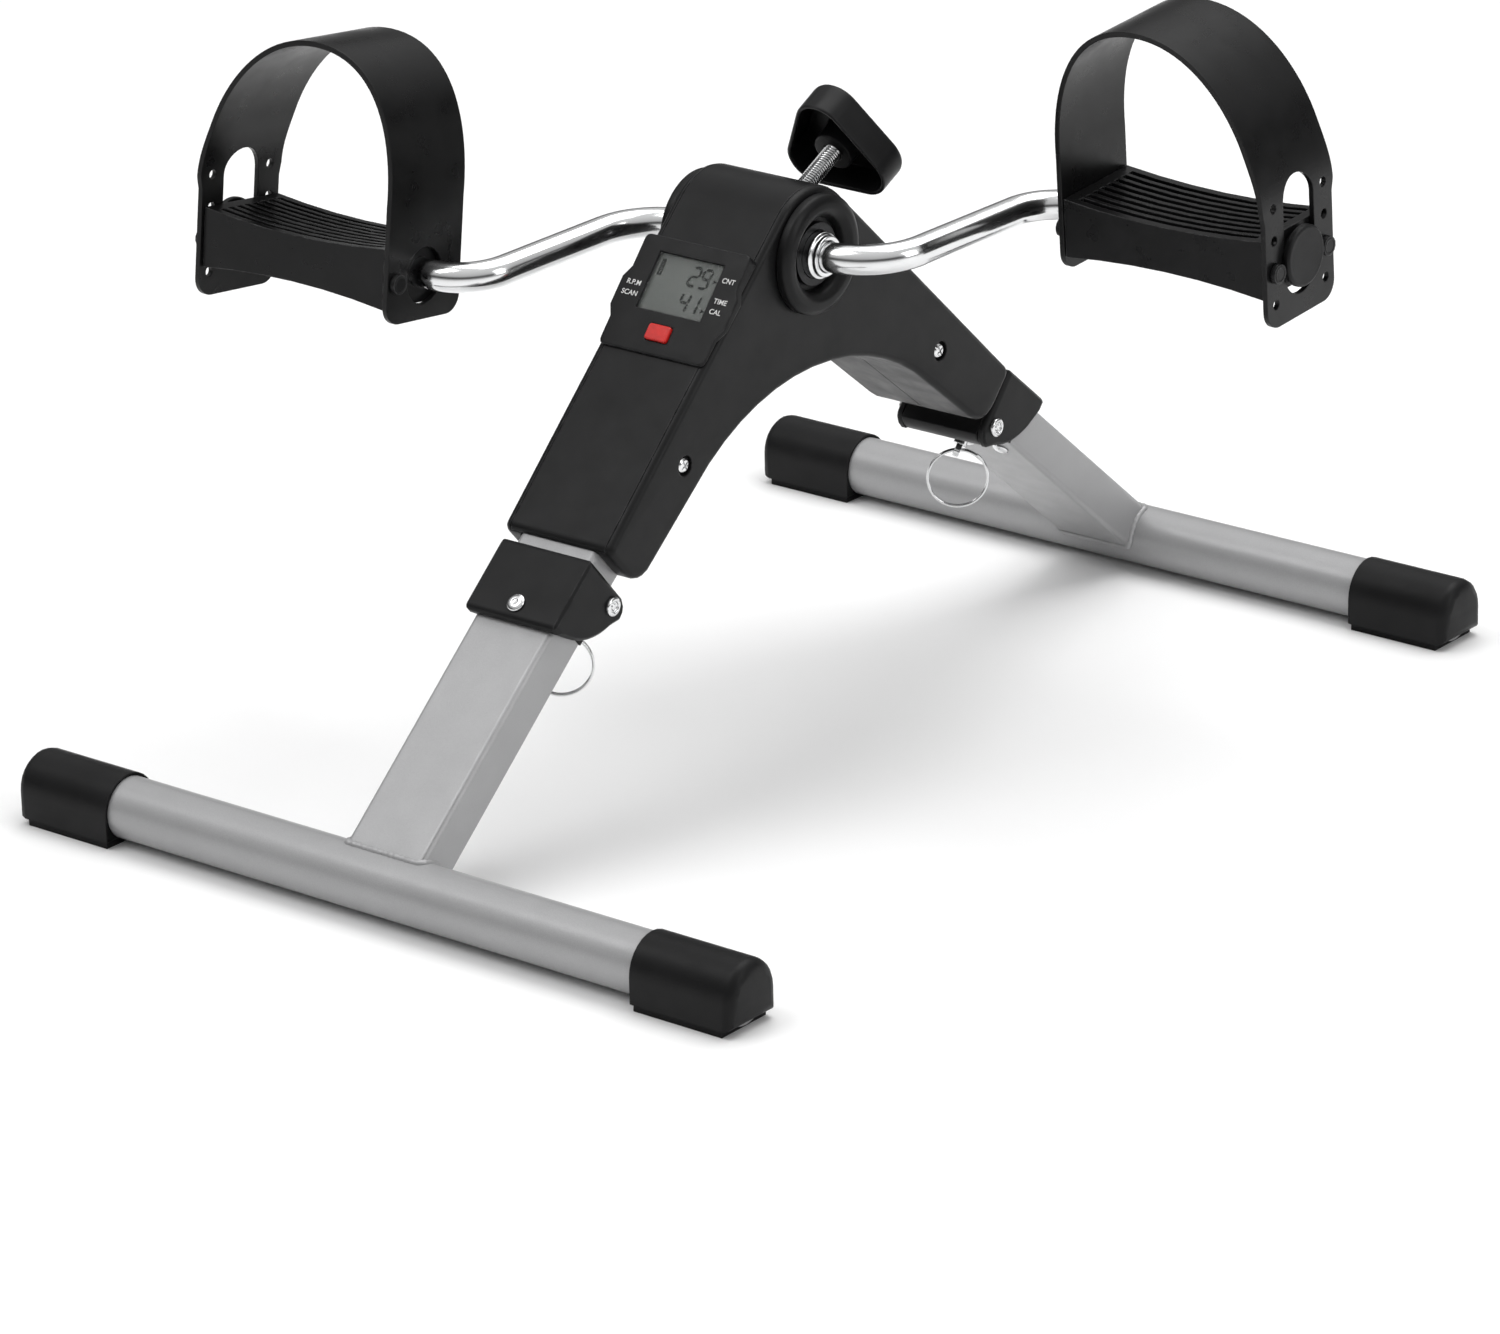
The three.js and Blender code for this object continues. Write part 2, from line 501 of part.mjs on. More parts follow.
// ---- counter ---------------------------------------------------------------
function counterOutline() {             // rounded square with a shallow bulge at each side
  const shape = new THREE.Shape();
  const [w, h, r] = [COUNTER_HALF_WIDTH, COUNTER_HALF_HEIGHT, 3];
  const bulge = { out: 2.6, low: -13, high: 10, flank: 5 };
  shape.moveTo(-w + r, -h);
  shape.lineTo(w - r, -h);
  shape.quadraticCurveTo(w, -h, w, -h + r);
  shape.lineTo(w, bulge.low);
  shape.lineTo(w + bulge.out, bulge.low + bulge.flank);
  shape.lineTo(w + bulge.out, bulge.high - bulge.flank);
  shape.lineTo(w, bulge.high);
  shape.lineTo(w, h - r);
  shape.quadraticCurveTo(w, h, w - r, h);
  shape.lineTo(-w + r, h);
  shape.quadraticCurveTo(-w, h, -w, h - r);
  shape.lineTo(-w, bulge.high);
  shape.lineTo(-w - bulge.out, bulge.high - bulge.flank);
  shape.lineTo(-w - bulge.out, bulge.low + bulge.flank);
  shape.lineTo(-w, bulge.low);
  shape.lineTo(-w, -h + r);
  shape.quadraticCurveTo(-w, -h, -w + r, -h);
  return shape;
}

function counterBezel() {
  const face = 1.8;
  const bevel = 0.8;
  const slab = solid(inCounter(extruded(counterOutline(), 12 - 2 * bevel, {
    bevelEnabled: true, bevelThickness: bevel, bevelSize: bevel, bevelOffset: -bevel,
    bevelSegments: 2, curveSegments: 4 }).translate(0, 0, -12 + bevel)));
  const grown = new THREE.Shape(inset(ccw, -GAP));
  const neck = solid(inCounter(box([-NECK.halfWidth, NECK.halfWidth],
    [NECK.low, NECK.high], [NECK.back, -1])));
  const wall = 1.2;
  return geometryOf(cut(slab.subtract(solid(extrudeX(grown, -60, 60))).add(neck),
    inCounter(box([-NECK.halfWidth + wall, NECK.halfWidth - wall],
      [NECK.low + wall, NECK.high - wall], [-30, -face])),
    inCounter(box([-WINDOW.halfWidth - 0.3, WINDOW.halfWidth + 0.3],
      [WINDOW.v - WINDOW.halfHeight - 0.3, WINDOW.v + WINDOW.halfHeight + 0.3], [-5, 5])),
    inCounter(extruded(roundedRect(BUTTON.halfWidth + 0.3, BUTTON.halfHeight + 0.3, 1.2), 10)
      .translate(0, BUTTON.v, -5))));
}
piece(part, 'counter_bezel', counterBezel(), blackPlastic);
const plate = (halfWidth, v0, v1, w0, w1) =>
  inCounter(box([-halfWidth, halfWidth], [v0, v1], [w0, w1]));
piece(part, 'counter_window', plate(WINDOW.halfWidth, WINDOW.v - WINDOW.halfHeight,
  WINDOW.v + WINDOW.halfHeight, -1.5, -0.35), clearPlastic);
piece(part, 'lcd_panel', plate(18, WINDOW.v - 13.8, WINDOW.v + 14.2, -3.7, -2.1), lcdGrey);
piece(part, 'circuit_board', plate(19, -19.6, 20.4, -5.4, -4.3), boardGreen);
piece(part, 'counter_battery', inCounter(rodZ(8, -7.2, -5.7, 0, 8, 24)), steel);
piece(part, 'counter_back_plate', plate(20.6, NECK.low + 0.4, NECK.high - 0.4, -8.3, -7.7),
  blackPlastic);
piece(part, 'counter_button', inCounter(geometryOf(join(
  extruded(roundedRect(BUTTON.halfWidth - 0.4, BUTTON.halfHeight - 0.4, 0.8), 3.6, {
    bevelEnabled: true, bevelThickness: 0.4, bevelSize: 0.4, bevelSegments: 1,
    curveSegments: 3 }).translate(0, BUTTON.v, BUTTON.proud - 4),
  box([-6.6, 6.6], [BUTTON.v - 4, BUTTON.v + 4], [-3, -2.15])))), redPlastic);

// ---- pedals ----------------------------------------------------------------
// Drawn with x from the strap's inner end outwards, y across and z up from the pin.
const BLOCK_X = [STRAP_THICKNESS + GAP + 0.2, PEDAL_LENGTH - STRAP_THICKNESS - GAP - 0.2];

function pedalBody() {
  const [x0, x1] = BLOCK_X;
  const mid = (x0 + x1) / 2;
  const sideView = (top, low, from, to) => {
    const shape = new THREE.Shape();
    shape.moveTo(from, low);
    shape.quadraticCurveTo(mid, low + 2 * PEDAL_SAG, to, low);
    shape.lineTo(to, top);
    shape.quadraticCurveTo(mid, top - 2 * PEDAL_SAG, from, top);
    return shape;
  };
  const half = PEDAL_HALF_DEPTH;
  let body = solid(extrudeY(sideView(PEDAL_END_TOP_Z, PEDAL_END_LOW_Z, x0, x1), -half, half,
    { curveSegments: 6 }));
  const wall = 2.5;
  const under = extrudeY(sideView(PEDAL_END_TOP_Z - 4.5, PEDAL_END_LOW_Z - 8, x0 + 3, x1 - 3),
    -half + wall, half - wall, { curveSegments: 6 });
  body = cut(body, under).add(solid(rodX(CRANK_ROD_R + 3, x0 + 1, x1 - 1)));
  const slots = 8;
  const pitch = (2 * half - 5) / slots;
  for (let i = 0; i < slots; i += 1) {
    const y = -half + 2.5 + pitch * (i + 0.5);
    body = cut(body, box([x0 + 5, x1 - 5], [y - pitch * 0.3, y + pitch * 0.3],
      [PEDAL_END_TOP_Z - 5.5, 30]));
  }
  for (const y of [-STUD_OFFSET_Y, STUD_OFFSET_Y]) {
    const stem = 1.9;
    body = body.add(solid(rodX(stem, PEDAL_LENGTH - 6, PEDAL_LENGTH + 1.6, y, STUD_Z, 8)))
      .add(solid(rodX(4.1, PEDAL_LENGTH + 0.4, PEDAL_LENGTH + 2.6, y, STUD_Z, 14)))
      .add(solid(rodX(stem, -1.6, 6, y, STUD_Z, 8)))
      .add(solid(rodX(4.1, -2.6, -0.4, y, STUD_Z, 14)));
  }
  return geometryOf(cut(body, rodX(CRANK_ROD_R + RUN, -5, PEDAL_LENGTH - 3, 0, 0, 24)));
}

function strapPath() {                  // outer line of the strap, inner end first
  const shape = new THREE.Path();
  shape.moveTo(0, STRAP_END_LOW_Z.inner);
  shape.lineTo(0, 30);
  shape.bezierCurveTo(-1.5, 62, 10, 92, 43.5, 92);
  shape.bezierCurveTo(70, 92, 89, 71, 97, 50);
  shape.bezierCurveTo(100.5, 41, PEDAL_LENGTH, 33, PEDAL_LENGTH, 24);
  shape.lineTo(PEDAL_LENGTH, STRAP_END_LOW_Z.outer);
  return shape.getPoints(8);
}

function pedalStrap() {
  const outer = strapPath();
  const inner = outer.map((p, i) => {
    const a = outer[Math.max(i - 1, 0)];
    const b = outer[Math.min(i + 1, outer.length - 1)];
    const along = new THREE.Vector2(b.x - a.x, b.y - a.y).normalize();
    return new THREE.Vector2(p.x + along.y * STRAP_THICKNESS, p.y - along.x * STRAP_THICKNESS);
  });
  const ribbon = new THREE.Shape([...outer, ...inner.reverse()]);
  const { inner: narrow, outer: wide } = STRAP_HALF_WIDTH;
  const taper = extruded(shapeOf([[-5, -narrow], [0, -narrow], [PEDAL_LENGTH, -wide],
    [PEDAL_LENGTH + 5, -wide], [PEDAL_LENGTH + 5, wide], [PEDAL_LENGTH, wide], [0, narrow],
    [-5, narrow]]), 160).translate(0, 0, -40);
  let body = solid(extrudeY(ribbon, -wide, wide)).intersect(solid(taper));
  const cutters = [];
  for (const side of [-1, 1]) {         // the ends are a little narrower than the band
    const y = side > 0 ? [STRAP_END_HALF_WIDTH, 40] : [-40, -STRAP_END_HALF_WIDTH];
    cutters.push(box([90, 115], y, [-40, 26]));
    for (let i = -1; i <= 2; i += 1) {
      cutters.push(rodX(2.2, 90, 115, side * STUD_OFFSET_Y, STUD_Z + i * STRAP_HOLE_PITCH, 10));
    }
    cutters.push(rodX(2.2, -5, 5, side * STUD_OFFSET_Y, STUD_Z, 10));
  }
  const slot = (low, high) => {
    const shape = new THREE.Shape();
    shape.absarc(0, high - SLOT_HALF_WIDTH, SLOT_HALF_WIDTH, 0, Math.PI);
    shape.absarc(0, low + SLOT_HALF_WIDTH, SLOT_HALF_WIDTH, Math.PI, 2 * Math.PI);
    return shape;
  };
  cutters.push(extrudeX(slot(-16.5, 35), 90, 115), extrudeX(slot(-13, 11), -5, 5));
  return geometryOf(cut(body, ...cutters));
}

const pedalCapProfile = [
  [PEDAL_LENGTH - STRAP_THICKNESS - 0.1, 0], [PEDAL_LENGTH - STRAP_THICKNESS - 0.1, 10.3],
  [PEDAL_LENGTH + GAP, 10.3], [PEDAL_LENGTH + GAP, 13], [PEDAL_LENGTH + 2.4, 13],
  [PEDAL_LENGTH + 3.2, 12.3], [PEDAL_LENGTH + 3.4, 0]];

function pedal(side) {
  const name = side > 0 ? 'right' : 'left';
  const group = new THREE.Group();
  group.rotation.set(PEDAL_PITCH[name], 0, side > 0 ? 0 : Math.PI);
  group.position.set(side * PEDAL_INNER_X, side * CRANK_THROW * Math.cos(CRANK_TILT),
    CRANK_Z + side * CRANK_THROW * Math.sin(CRANK_TILT));
  part.add(group);
  piece(group, `${name}_pedal_body`, pedalBody(), blackPlastic);
  piece(group, `${name}_pedal_strap`, pedalStrap(), blackRubber);
  piece(group, `${name}_pedal_cap`, turnedX(pedalCapProfile, 24), blackPlastic);
}
pedal(1);
pedal(-1);

// ---- legs ------------------------------------------------------------------
function legTube() {
  const outer = solid(squareTube(LEG_TOP_U, KNEE_FROM_FOOT));
  return geometryOf(cut(outer, squareTube(LEG_TOP_U - 1, KNEE_FROM_FOOT + 20, -LEG_WALL, 2),
    rodX(FOOT_TUBE_R + GAP, -60, 60, 0, 0, 40).translate(0, KNEE_FROM_FOOT, 0),
    ...underRivets.map(([x, u]) => rodZ(1.9, -15, -5, x, u, 12))));
}
const underRivets = [[-9, -3.5], [9, -3.5]];

function hingeCollar() {
  const [u0, u1] = COLLAR_U;
  const ear = new THREE.Shape();
  const lowArc = 9.5;                   // rounding about the pivot
  const sweep = { u: -40, n: 13, r: 32, from: -0.32, to: -1.2 };
  ear.moveTo(u0, PIVOT_N);
  ear.lineTo(u0, COLLAR_TOP_N - 2);
  ear.quadraticCurveTo(u0, COLLAR_TOP_N, u0 + 2, COLLAR_TOP_N);
  ear.lineTo(u1 - 3, COLLAR_TOP_N);
  ear.quadraticCurveTo(u1, COLLAR_TOP_N, u1, COLLAR_TOP_N - 3);
  ear.absarc(sweep.u, sweep.n, sweep.r, sweep.from, sweep.to, true);
  ear.lineTo(PIVOT_U + 1, PIVOT_N - lowArc);
  ear.quadraticCurveTo(u0, PIVOT_N - lowArc, u0, PIVOT_N);
  const bevel = 1.2;
  const block = solid(extrudeX(ear, -COLLAR_HALF_WIDTH + bevel, COLLAR_HALF_WIDTH - bevel, {
    bevelEnabled: true, bevelThickness: bevel, bevelSize: bevel, bevelOffset: -bevel,
    bevelSegments: 1, curveSegments: 4 }));
  const plan = solid(extruded(roundedRect(COLLAR_HALF_WIDTH, (u1 - u0) / 2, 3), 80)
    .translate(0, (u0 + u1) / 2, -40));
  const inside = LEG_HALF_WIDTH + 0.4;
  const hollow = solid(box([-inside, inside], [u0 - 5, u1 + 5], [-10.4, 10.4]))
    .add(solid(box([-inside, inside], [u0 - 5, PIVOT_U + BARREL_R + 0.5], [-40, 0])))
    .add(solid(box([-inside, inside], [u0 - 5, u1 + 5], [-40, -12.6])));
  return geometryOf(cut(block.intersect(plan).subtract(hollow),
    rodX(PIVOT_PIN_R + RUN, -60, 60, PIVOT_U, PIVOT_N),
    rodZ(LOCK_PIN_R + RUN, -30, 0, 0, LOCK_PIN_U),
    rodZ(2.5, 0, 30, 0, -14, 16)));
}

const domeHead = (radius, height, base) => [
  [base, radius], [base + height * 0.55, radius * 0.82], [base + height * 0.9, radius * 0.45],
  [base + height, 0]];
const rivetProfile = [[10.6, 0], [10.6, 2.2], [COLLAR_TOP_N + 0.15, 2.2],
  ...domeHead(4.1, 1.7, COLLAR_TOP_N + 0.15)];
const underRivetProfile = [[-8.7, 0], [-8.7, 1.6], [-10.15, 1.6], [-10.15, 3.8],
  [-11.2, 3.1], [-11.9, 1.7], [-12.1, 0]].reverse();

function pivotPin() {
  const head = COLLAR_HALF_WIDTH + 0.15;
  const right = [[head, PIVOT_PIN_R], ...domeHead(4.2, 1.6, head)];
  const left = right.map(([x, r]) => [-x, r]).reverse();
  return turnedX([...left, ...right], 16).translate(0, PIVOT_U, PIVOT_N);
}

const lockEye = () => new THREE.Vector3(0, LOCK_PIN_U, LOCK_EYE_N).applyMatrix4(legMatrix);

function lockPin() {
  const tab = extruded(roundedRect(3.4, 2.9, 2.6), 2.6, { curveSegments: 4 })
    .translate(0, 0, -1.3).rotateY(Math.PI / 2).rotateZ(PULL_RING_TURN)
    .translate(0, LOCK_PIN_U, LOCK_EYE_N);
  const body = join(rodZ(LOCK_PIN_R, LOCK_EYE_N + 2.2, -10.5, 0, LOCK_PIN_U, 16), tab);
  const eye = lockEye();
  const hole = rodX(1.6, -10, 10, 0, 0, 14).rotateZ(PULL_RING_TURN)
    .translate(eye.x, eye.y, eye.z).applyMatrix4(legMatrix.clone().invert());
  return geometryOf(cut(body, hole));
}

// The ring hangs straight down from the eye of its pin.
function pullRing() {
  const eye = lockEye();
  const ring = new THREE.TorusGeometry(PULL_RING_R, PULL_RING_WIRE_R, 6, 24);
  return ring.rotateX(Math.PI / 2).rotateZ(PULL_RING_TURN)
    .translate(eye.x, eye.y, eye.z - PULL_RING_R);
}

function footCap() {                    // drawn for the +X end of a bar at Y = 0
  const outerX = FOOT_BAR_LENGTH / 2;
  const innerX = outerX - CAP_LENGTH;
  const soleZ = 3;
  const soleInset = 1;
  const bevel = 4.5;
  const body = new THREE.Shape();
  body.moveTo(-CAP_HALF_WIDTH, soleZ);
  body.lineTo(CAP_HALF_WIDTH, soleZ);
  body.lineTo(CAP_HALF_WIDTH, FOOT_AXIS_Z);
  body.absarc(0, FOOT_AXIS_Z, CAP_HALF_WIDTH, 0, Math.PI);
  const upper = solid(extrudeX(body, innerX - 20, outerX - bevel, {
    bevelEnabled: true, bevelThickness: bevel, bevelSize: bevel, bevelOffset: -bevel,
    bevelSegments: 3, curveSegments: 7 }))
    .intersect(solid(box([innerX, outerX + 1], [-40, 40], [soleZ, 60])));
  const lower = solid(box([innerX + 1, outerX - 5.5],
    [-CAP_HALF_WIDTH + soleInset, CAP_HALF_WIDTH - soleInset], [0, soleZ + 3]));
  const face = solid(box([innerX, outerX - 4.5],
    [-CAP_HALF_WIDTH, CAP_HALF_WIDTH], [soleZ, soleZ + 6]));
  return upper.add(lower).add(face)
    .subtract(solid(rodX(FOOT_TUBE_R + GAP, 0, outerX - 4, 0, FOOT_AXIS_Z, 36)));
}

function leg(name, side) {
  const place = side > 0 ? inLeg : inFrontLeg;
  const group = new THREE.Group();
  group.rotation.z = side > 0 ? 0 : Math.PI;
  group.position.y = side * FOOT_SPREAD;
  part.add(group);
  piece(part, `${name}_leg_tube`, place(legTube()), silverPaint);
  const tubeEnd = FOOT_BAR_LENGTH / 2 - 4.4;
  piece(group, `${name}_foot_tube`, turnedX([
    [-tubeEnd, FOOT_TUBE_R - FOOT_TUBE_WALL], [-tubeEnd, FOOT_TUBE_R], [tubeEnd, FOOT_TUBE_R],
    [tubeEnd, FOOT_TUBE_R - FOOT_TUBE_WALL], [-tubeEnd, FOOT_TUBE_R - FOOT_TUBE_WALL]], 36)
    .translate(0, 0, FOOT_AXIS_Z), silverPaint);
  const capSolid = footCap();
  const capNames = side > 0 ? ['right', 'left'] : ['left', 'right'];
  piece(group, `${name}_foot_cap_${capNames[0]}`, geometryOf(capSolid), blackRubber);
  piece(group, `${name}_foot_cap_${capNames[1]}`,
    geometryOf(capSolid.mirror([1, 0, 0])), blackRubber);
  piece(part, `${name}_hinge_collar`, place(hingeCollar()), blackPlastic);
  piece(part, `${name}_collar_rivet`, place(turnedZ(rivetProfile, 14)
    .translate(0, -14, 0)), chrome);
  underRivets.forEach(([x, u], i) => piece(part, `${name}_under_rivet_${i + 1}`,
    place(turnedZ(underRivetProfile, 12).translate(x, u, 0)), chrome));
  piece(part, `${name}_pivot_pin`, place(pivotPin()), chrome);
  piece(part, `${name}_lock_pin`, place(lockPin()), chrome);
  const ring = pullRing();
  piece(part, `${name}_pull_ring`, side > 0 ? ring : ring.applyMatrix4(turnAround), chrome);
}
leg('rear', 1);
leg('front', -1);

export default part;
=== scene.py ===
"""Looks for a folding pedal exerciser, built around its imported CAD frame.

Working units are millimetres in the CAD's frame; meshes are scaled to metres as they are made.
"""

import json
import math
import random

import bmesh
import bpy
from mathutils import Matrix, Vector


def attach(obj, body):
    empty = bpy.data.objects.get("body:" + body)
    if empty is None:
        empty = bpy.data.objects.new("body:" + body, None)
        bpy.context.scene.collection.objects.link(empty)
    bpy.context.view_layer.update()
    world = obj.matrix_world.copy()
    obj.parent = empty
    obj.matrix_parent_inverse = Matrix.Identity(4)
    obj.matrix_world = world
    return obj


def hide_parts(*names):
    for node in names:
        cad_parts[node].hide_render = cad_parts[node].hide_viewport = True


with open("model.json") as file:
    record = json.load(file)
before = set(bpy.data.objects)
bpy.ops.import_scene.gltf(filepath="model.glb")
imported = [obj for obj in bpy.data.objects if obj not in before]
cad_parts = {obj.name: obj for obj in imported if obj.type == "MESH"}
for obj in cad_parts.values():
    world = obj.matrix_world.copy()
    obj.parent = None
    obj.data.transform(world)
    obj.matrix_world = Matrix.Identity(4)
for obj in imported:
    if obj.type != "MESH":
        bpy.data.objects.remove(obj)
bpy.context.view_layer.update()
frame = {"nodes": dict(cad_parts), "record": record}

MM = 0.001
NODES = frame["nodes"]
RECORD = frame["record"]
SLOT_OF = {row["node"]: row["material_slot"] for row in RECORD["subparts"]}
BODY_OF = {n: body for body, names in RECORD["behaviour"]["bodies"].items() for n in names}

# ---- dimensions shared with the CAD -----------------------------------------
LEG_ANGLE = math.radians(40.4)
FOOT_SPREAD = 248
FOOT_BAR_LENGTH = 374
FOOT_TUBE_R = 13.2
FOOT_TUBE_WALL = 1.4
FOOT_AXIS_Z = 14.2
KNEE_FROM_FOOT = 111.7
KNEE = (FOOT_SPREAD - KNEE_FROM_FOOT * math.cos(LEG_ANGLE),
        FOOT_AXIS_Z + KNEE_FROM_FOOT * math.sin(LEG_ANGLE))
LEG_HALF_WIDTH = 20
LEG_HALF_DEPTH = 10
LEG_CORNER_R = 2.5
COLLAR_HALF_WIDTH = 23.8
COLLAR_TOP_N = 14.2
PIVOT_U, PIVOT_N = -34, -10.5
LOCK_U, LOCK_EYE_N = -20, -20
RING_R = 13
RING_TURN = math.radians(38)
CRANK_Z = 215.5
CRANK_TILT = math.radians(3.3)
THROW = 98
ROD_R = 6.35
INNER_BEND = (61, 28)
OUTER_BEND = (74, 22)
SIDE_COVER_X = 28
COVER_SCREW = (86.2, 148.5)
BOSS_R, BOSS_FACE_X = 25.4, 34
TENSION_ANGLE = math.radians(26.5)
SCREW_R, SCREW_TIP, SCREW_PITCH = 4, 16.4, 1.25
KNOB_RIM, KNOB_DEPTH = 54.5, 15.4
KNOB_TOP = KNOB_RIM + KNOB_DEPTH
PEDAL_INNER_X, PEDAL_LENGTH = 98, 104
PEDAL_PITCH = {"left": -0.125, "right": 0.065}
STRAP_THICKNESS = 2.3
STRAP_HALF_WIDTH = (23, 25.2)
STRAP_END_HALF_WIDTH = 24
STRAP_LOW = (-19.5, -26)
STUD_Y, STUD_Z, HOLE_PITCH = 17.8, -2, 13.8
SLOT_HALF_WIDTH = 10.8
COUNTER_ANGLE = math.radians(48.5)
COUNTER_CENTRE = (-56.4, 206)


def rot(angle, axis):
    return Matrix.Rotation(angle, 4, axis)


def at(x, y, z):
    return Matrix.Translation((x, y, z))


TURN = rot(math.pi, "Z")
REAR_LEG = at(0, *KNEE) @ rot(-LEG_ANGLE, "X")
FRONT_LEG = TURN @ REAR_LEG
LEG = {"rear": REAR_LEG, "front": FRONT_LEG}
CRANK = at(0, 0, CRANK_Z) @ rot(CRANK_TILT, "X")
TENSION = at(0, 0, CRANK_Z) @ rot(TENSION_ANGLE - math.pi / 2, "X")
COUNTER = at(0, *COUNTER_CENTRE) @ rot(COUNTER_ANGLE, "X")
X_TO_Z = rot(-math.pi / 2, "Y")


def pedal_frame(name):
    side = 1 if name == "right" else -1
    place = at(side * PEDAL_INNER_X, side * THROW * math.cos(CRANK_TILT),
               CRANK_Z + side * THROW * math.sin(CRANK_TILT))
    return place @ rot(PEDAL_PITCH[name], "X") @ rot(0 if side > 0 else math.pi, "Z")


# ---- camera -------------------------------------------------------------------
CAMERA_AT = (1.8048, -2.2745, 1.1748)
AZIMUTH, ELEVATION, ROLL = (math.radians(a) for a in (38.58, 21.57, -1.22))
LENS = 177.93
back = Vector((math.sin(AZIMUTH) * math.cos(ELEVATION),
               -math.cos(AZIMUTH) * math.cos(ELEVATION), math.sin(ELEVATION)))
level = Vector((math.cos(AZIMUTH), math.sin(AZIMUTH), 0))
upward = back.cross(level)
right = level * math.cos(ROLL) + upward * math.sin(ROLL)
up = upward * math.cos(ROLL) - level * math.sin(ROLL)
camera = bpy.data.objects.new("camera", bpy.data.cameras.new("camera"))
bpy.context.scene.collection.objects.link(camera)
camera.matrix_world = Matrix.Translation(CAMERA_AT) @ Matrix((right, up, back)).transposed().to_4x4()
camera.data.lens = LENS
camera.data.sensor_width = 36
camera.data.clip_end = 100
bpy.context.scene.camera = camera


# ---- materials ------------------------------------------------------------------
class Surface:
    """A Principled material whose colour, roughness and bump are built from noises."""

    def __init__(self, name, color, roughness, metallic=0.0, **sockets):
        self.material = bpy.data.materials.new(name)
        self.material.use_nodes = True
        tree = self.material.node_tree
        self.nodes, self.links = tree.nodes, tree.links
        self.bsdf = self.nodes["Principled BSDF"]
        self.bsdf.inputs["Base Color"].default_value = (*color, 1)
        self.bsdf.inputs["Roughness"].default_value = roughness
        self.bsdf.inputs["Metallic"].default_value = metallic
        for socket, value in sockets.items():
            self.bsdf.inputs[socket.replace("_", " ")].default_value = value
        self.coordinates = self.nodes.new("ShaderNodeTexCoord").outputs["Object"]
        self.normal = None

    def link(self, source, target):
        self.links.new(source, target)

    def noise(self, feature, detail=2.0, stretch=(1, 1, 1)):
        """Noise with features about that many millimetres across."""
        mapping = self.nodes.new("ShaderNodeMapping")
        mapping.inputs["Scale"].default_value = stretch
        self.link(self.coordinates, mapping.inputs["Vector"])
        node = self.nodes.new("ShaderNodeTexNoise")
        node.inputs["Scale"].default_value = 1 / (feature * MM)
        node.inputs["Detail"].default_value = detail
        self.link(mapping.outputs["Vector"], node.inputs["Vector"])
        return node.outputs["Fac"]

    def span(self, value, low, high, to_low=0.0, to_high=1.0):
        node = self.nodes.new("ShaderNodeMapRange")
        node.inputs["From Min"].default_value = low
        node.inputs["From Max"].default_value = high
        node.inputs["To Min"].default_value = to_low
        node.inputs["To Max"].default_value = to_high
        self.link(value, node.inputs["Value"])
        return node.outputs["Result"]

    def math(self, operation, a, b):
        node = self.nodes.new("ShaderNodeMath")
        node.operation = operation
        for socket, value in zip(node.inputs, (a, b)):
            if isinstance(value, (int, float)):
                socket.default_value = value
            else:
                self.link(value, socket)
        return node.outputs[0]

    def blend(self, factor, a, b):
        node = self.nodes.new("ShaderNodeMix")
        node.data_type = "RGBA"
        self.link(factor, node.inputs["Factor"])
        for socket, value in ((node.inputs[6], a), (node.inputs[7], b)):
            if isinstance(value, tuple):
                socket.default_value = (*value, 1)
            else:
                self.link(value, socket)
        return node.outputs[2]

    def edges(self, radius=0.8):
        """Mask of convex and concave edges, from rounded against true normals."""
        bevel = self.nodes.new("ShaderNodeBevel")
        bevel.samples = 4
        bevel.inputs["Radius"].default_value = radius * MM
        true_normal = self.nodes.new("ShaderNodeNewGeometry").outputs["Normal"]
        dot = self.nodes.new("ShaderNodeVectorMath")
        dot.operation = "DOT_PRODUCT"
        self.link(bevel.outputs["Normal"], dot.inputs[0])
        self.link(true_normal, dot.inputs[1])
        self.normal = bevel.outputs["Normal"]
        return self.span(dot.outputs["Value"], 0.995, 0.88)

    def bump(self, height, distance):
        node = self.nodes.new("ShaderNodeBump")
        node.inputs["Strength"].default_value = 1.0
        node.inputs["Distance"].default_value = distance * MM
        self.link(height, node.inputs["Height"])
        if self.normal is not None:
            self.link(self.normal, node.inputs["Normal"])
        self.normal = node.outputs["Normal"]

    def finish(self, color=None, roughness=None):
        if color is not None:
            self.link(color, self.bsdf.inputs["Base Color"])
        if roughness is not None:
            self.link(roughness, self.bsdf.inputs["Roughness"])
        if self.normal is not None:
            self.link(self.normal, self.bsdf.inputs["Normal"])
        return self.material


def moulded(name, color, worn_and_highlight, roughness, grain, grain_depth, wear_and_highlight=0.55, radius=0.8,
            shine=0.17):
    """Moulded plastic or rubber: cloudy colour, fine grain, and lighter edges, partly scuffing and
    partly a painted edge highlight.
    """
    s = Surface(name, color, roughness, Specular_IOR_Level=shine)
    edge = s.edges(radius)
    # Lighter edges: partly scuffing, partly a painted highlight along the edges.
    edge_lightening = s.math("MULTIPLY", edge, s.span(s.noise(5, 4), 0.35, 0.7, 0.1, wear_and_highlight))
    cloud = s.span(s.noise(28, 3), 0.3, 0.7)
    lighter = tuple(c * 1.45 + 0.001 for c in color)
    colour = s.blend(edge_lightening, s.blend(cloud, color, lighter), worn_and_highlight)
    smear = s.span(s.noise(11, 4), 0.3, 0.7, roughness - 0.05, roughness + 0.06)
    rough = s.math("SUBTRACT", smear, s.math("MULTIPLY", edge_lightening, 0.06))
    s.bump(s.noise(grain, 2), grain_depth)
    s.bump(s.noise(17, 2), 0.01)
    return s.finish(colour, rough)


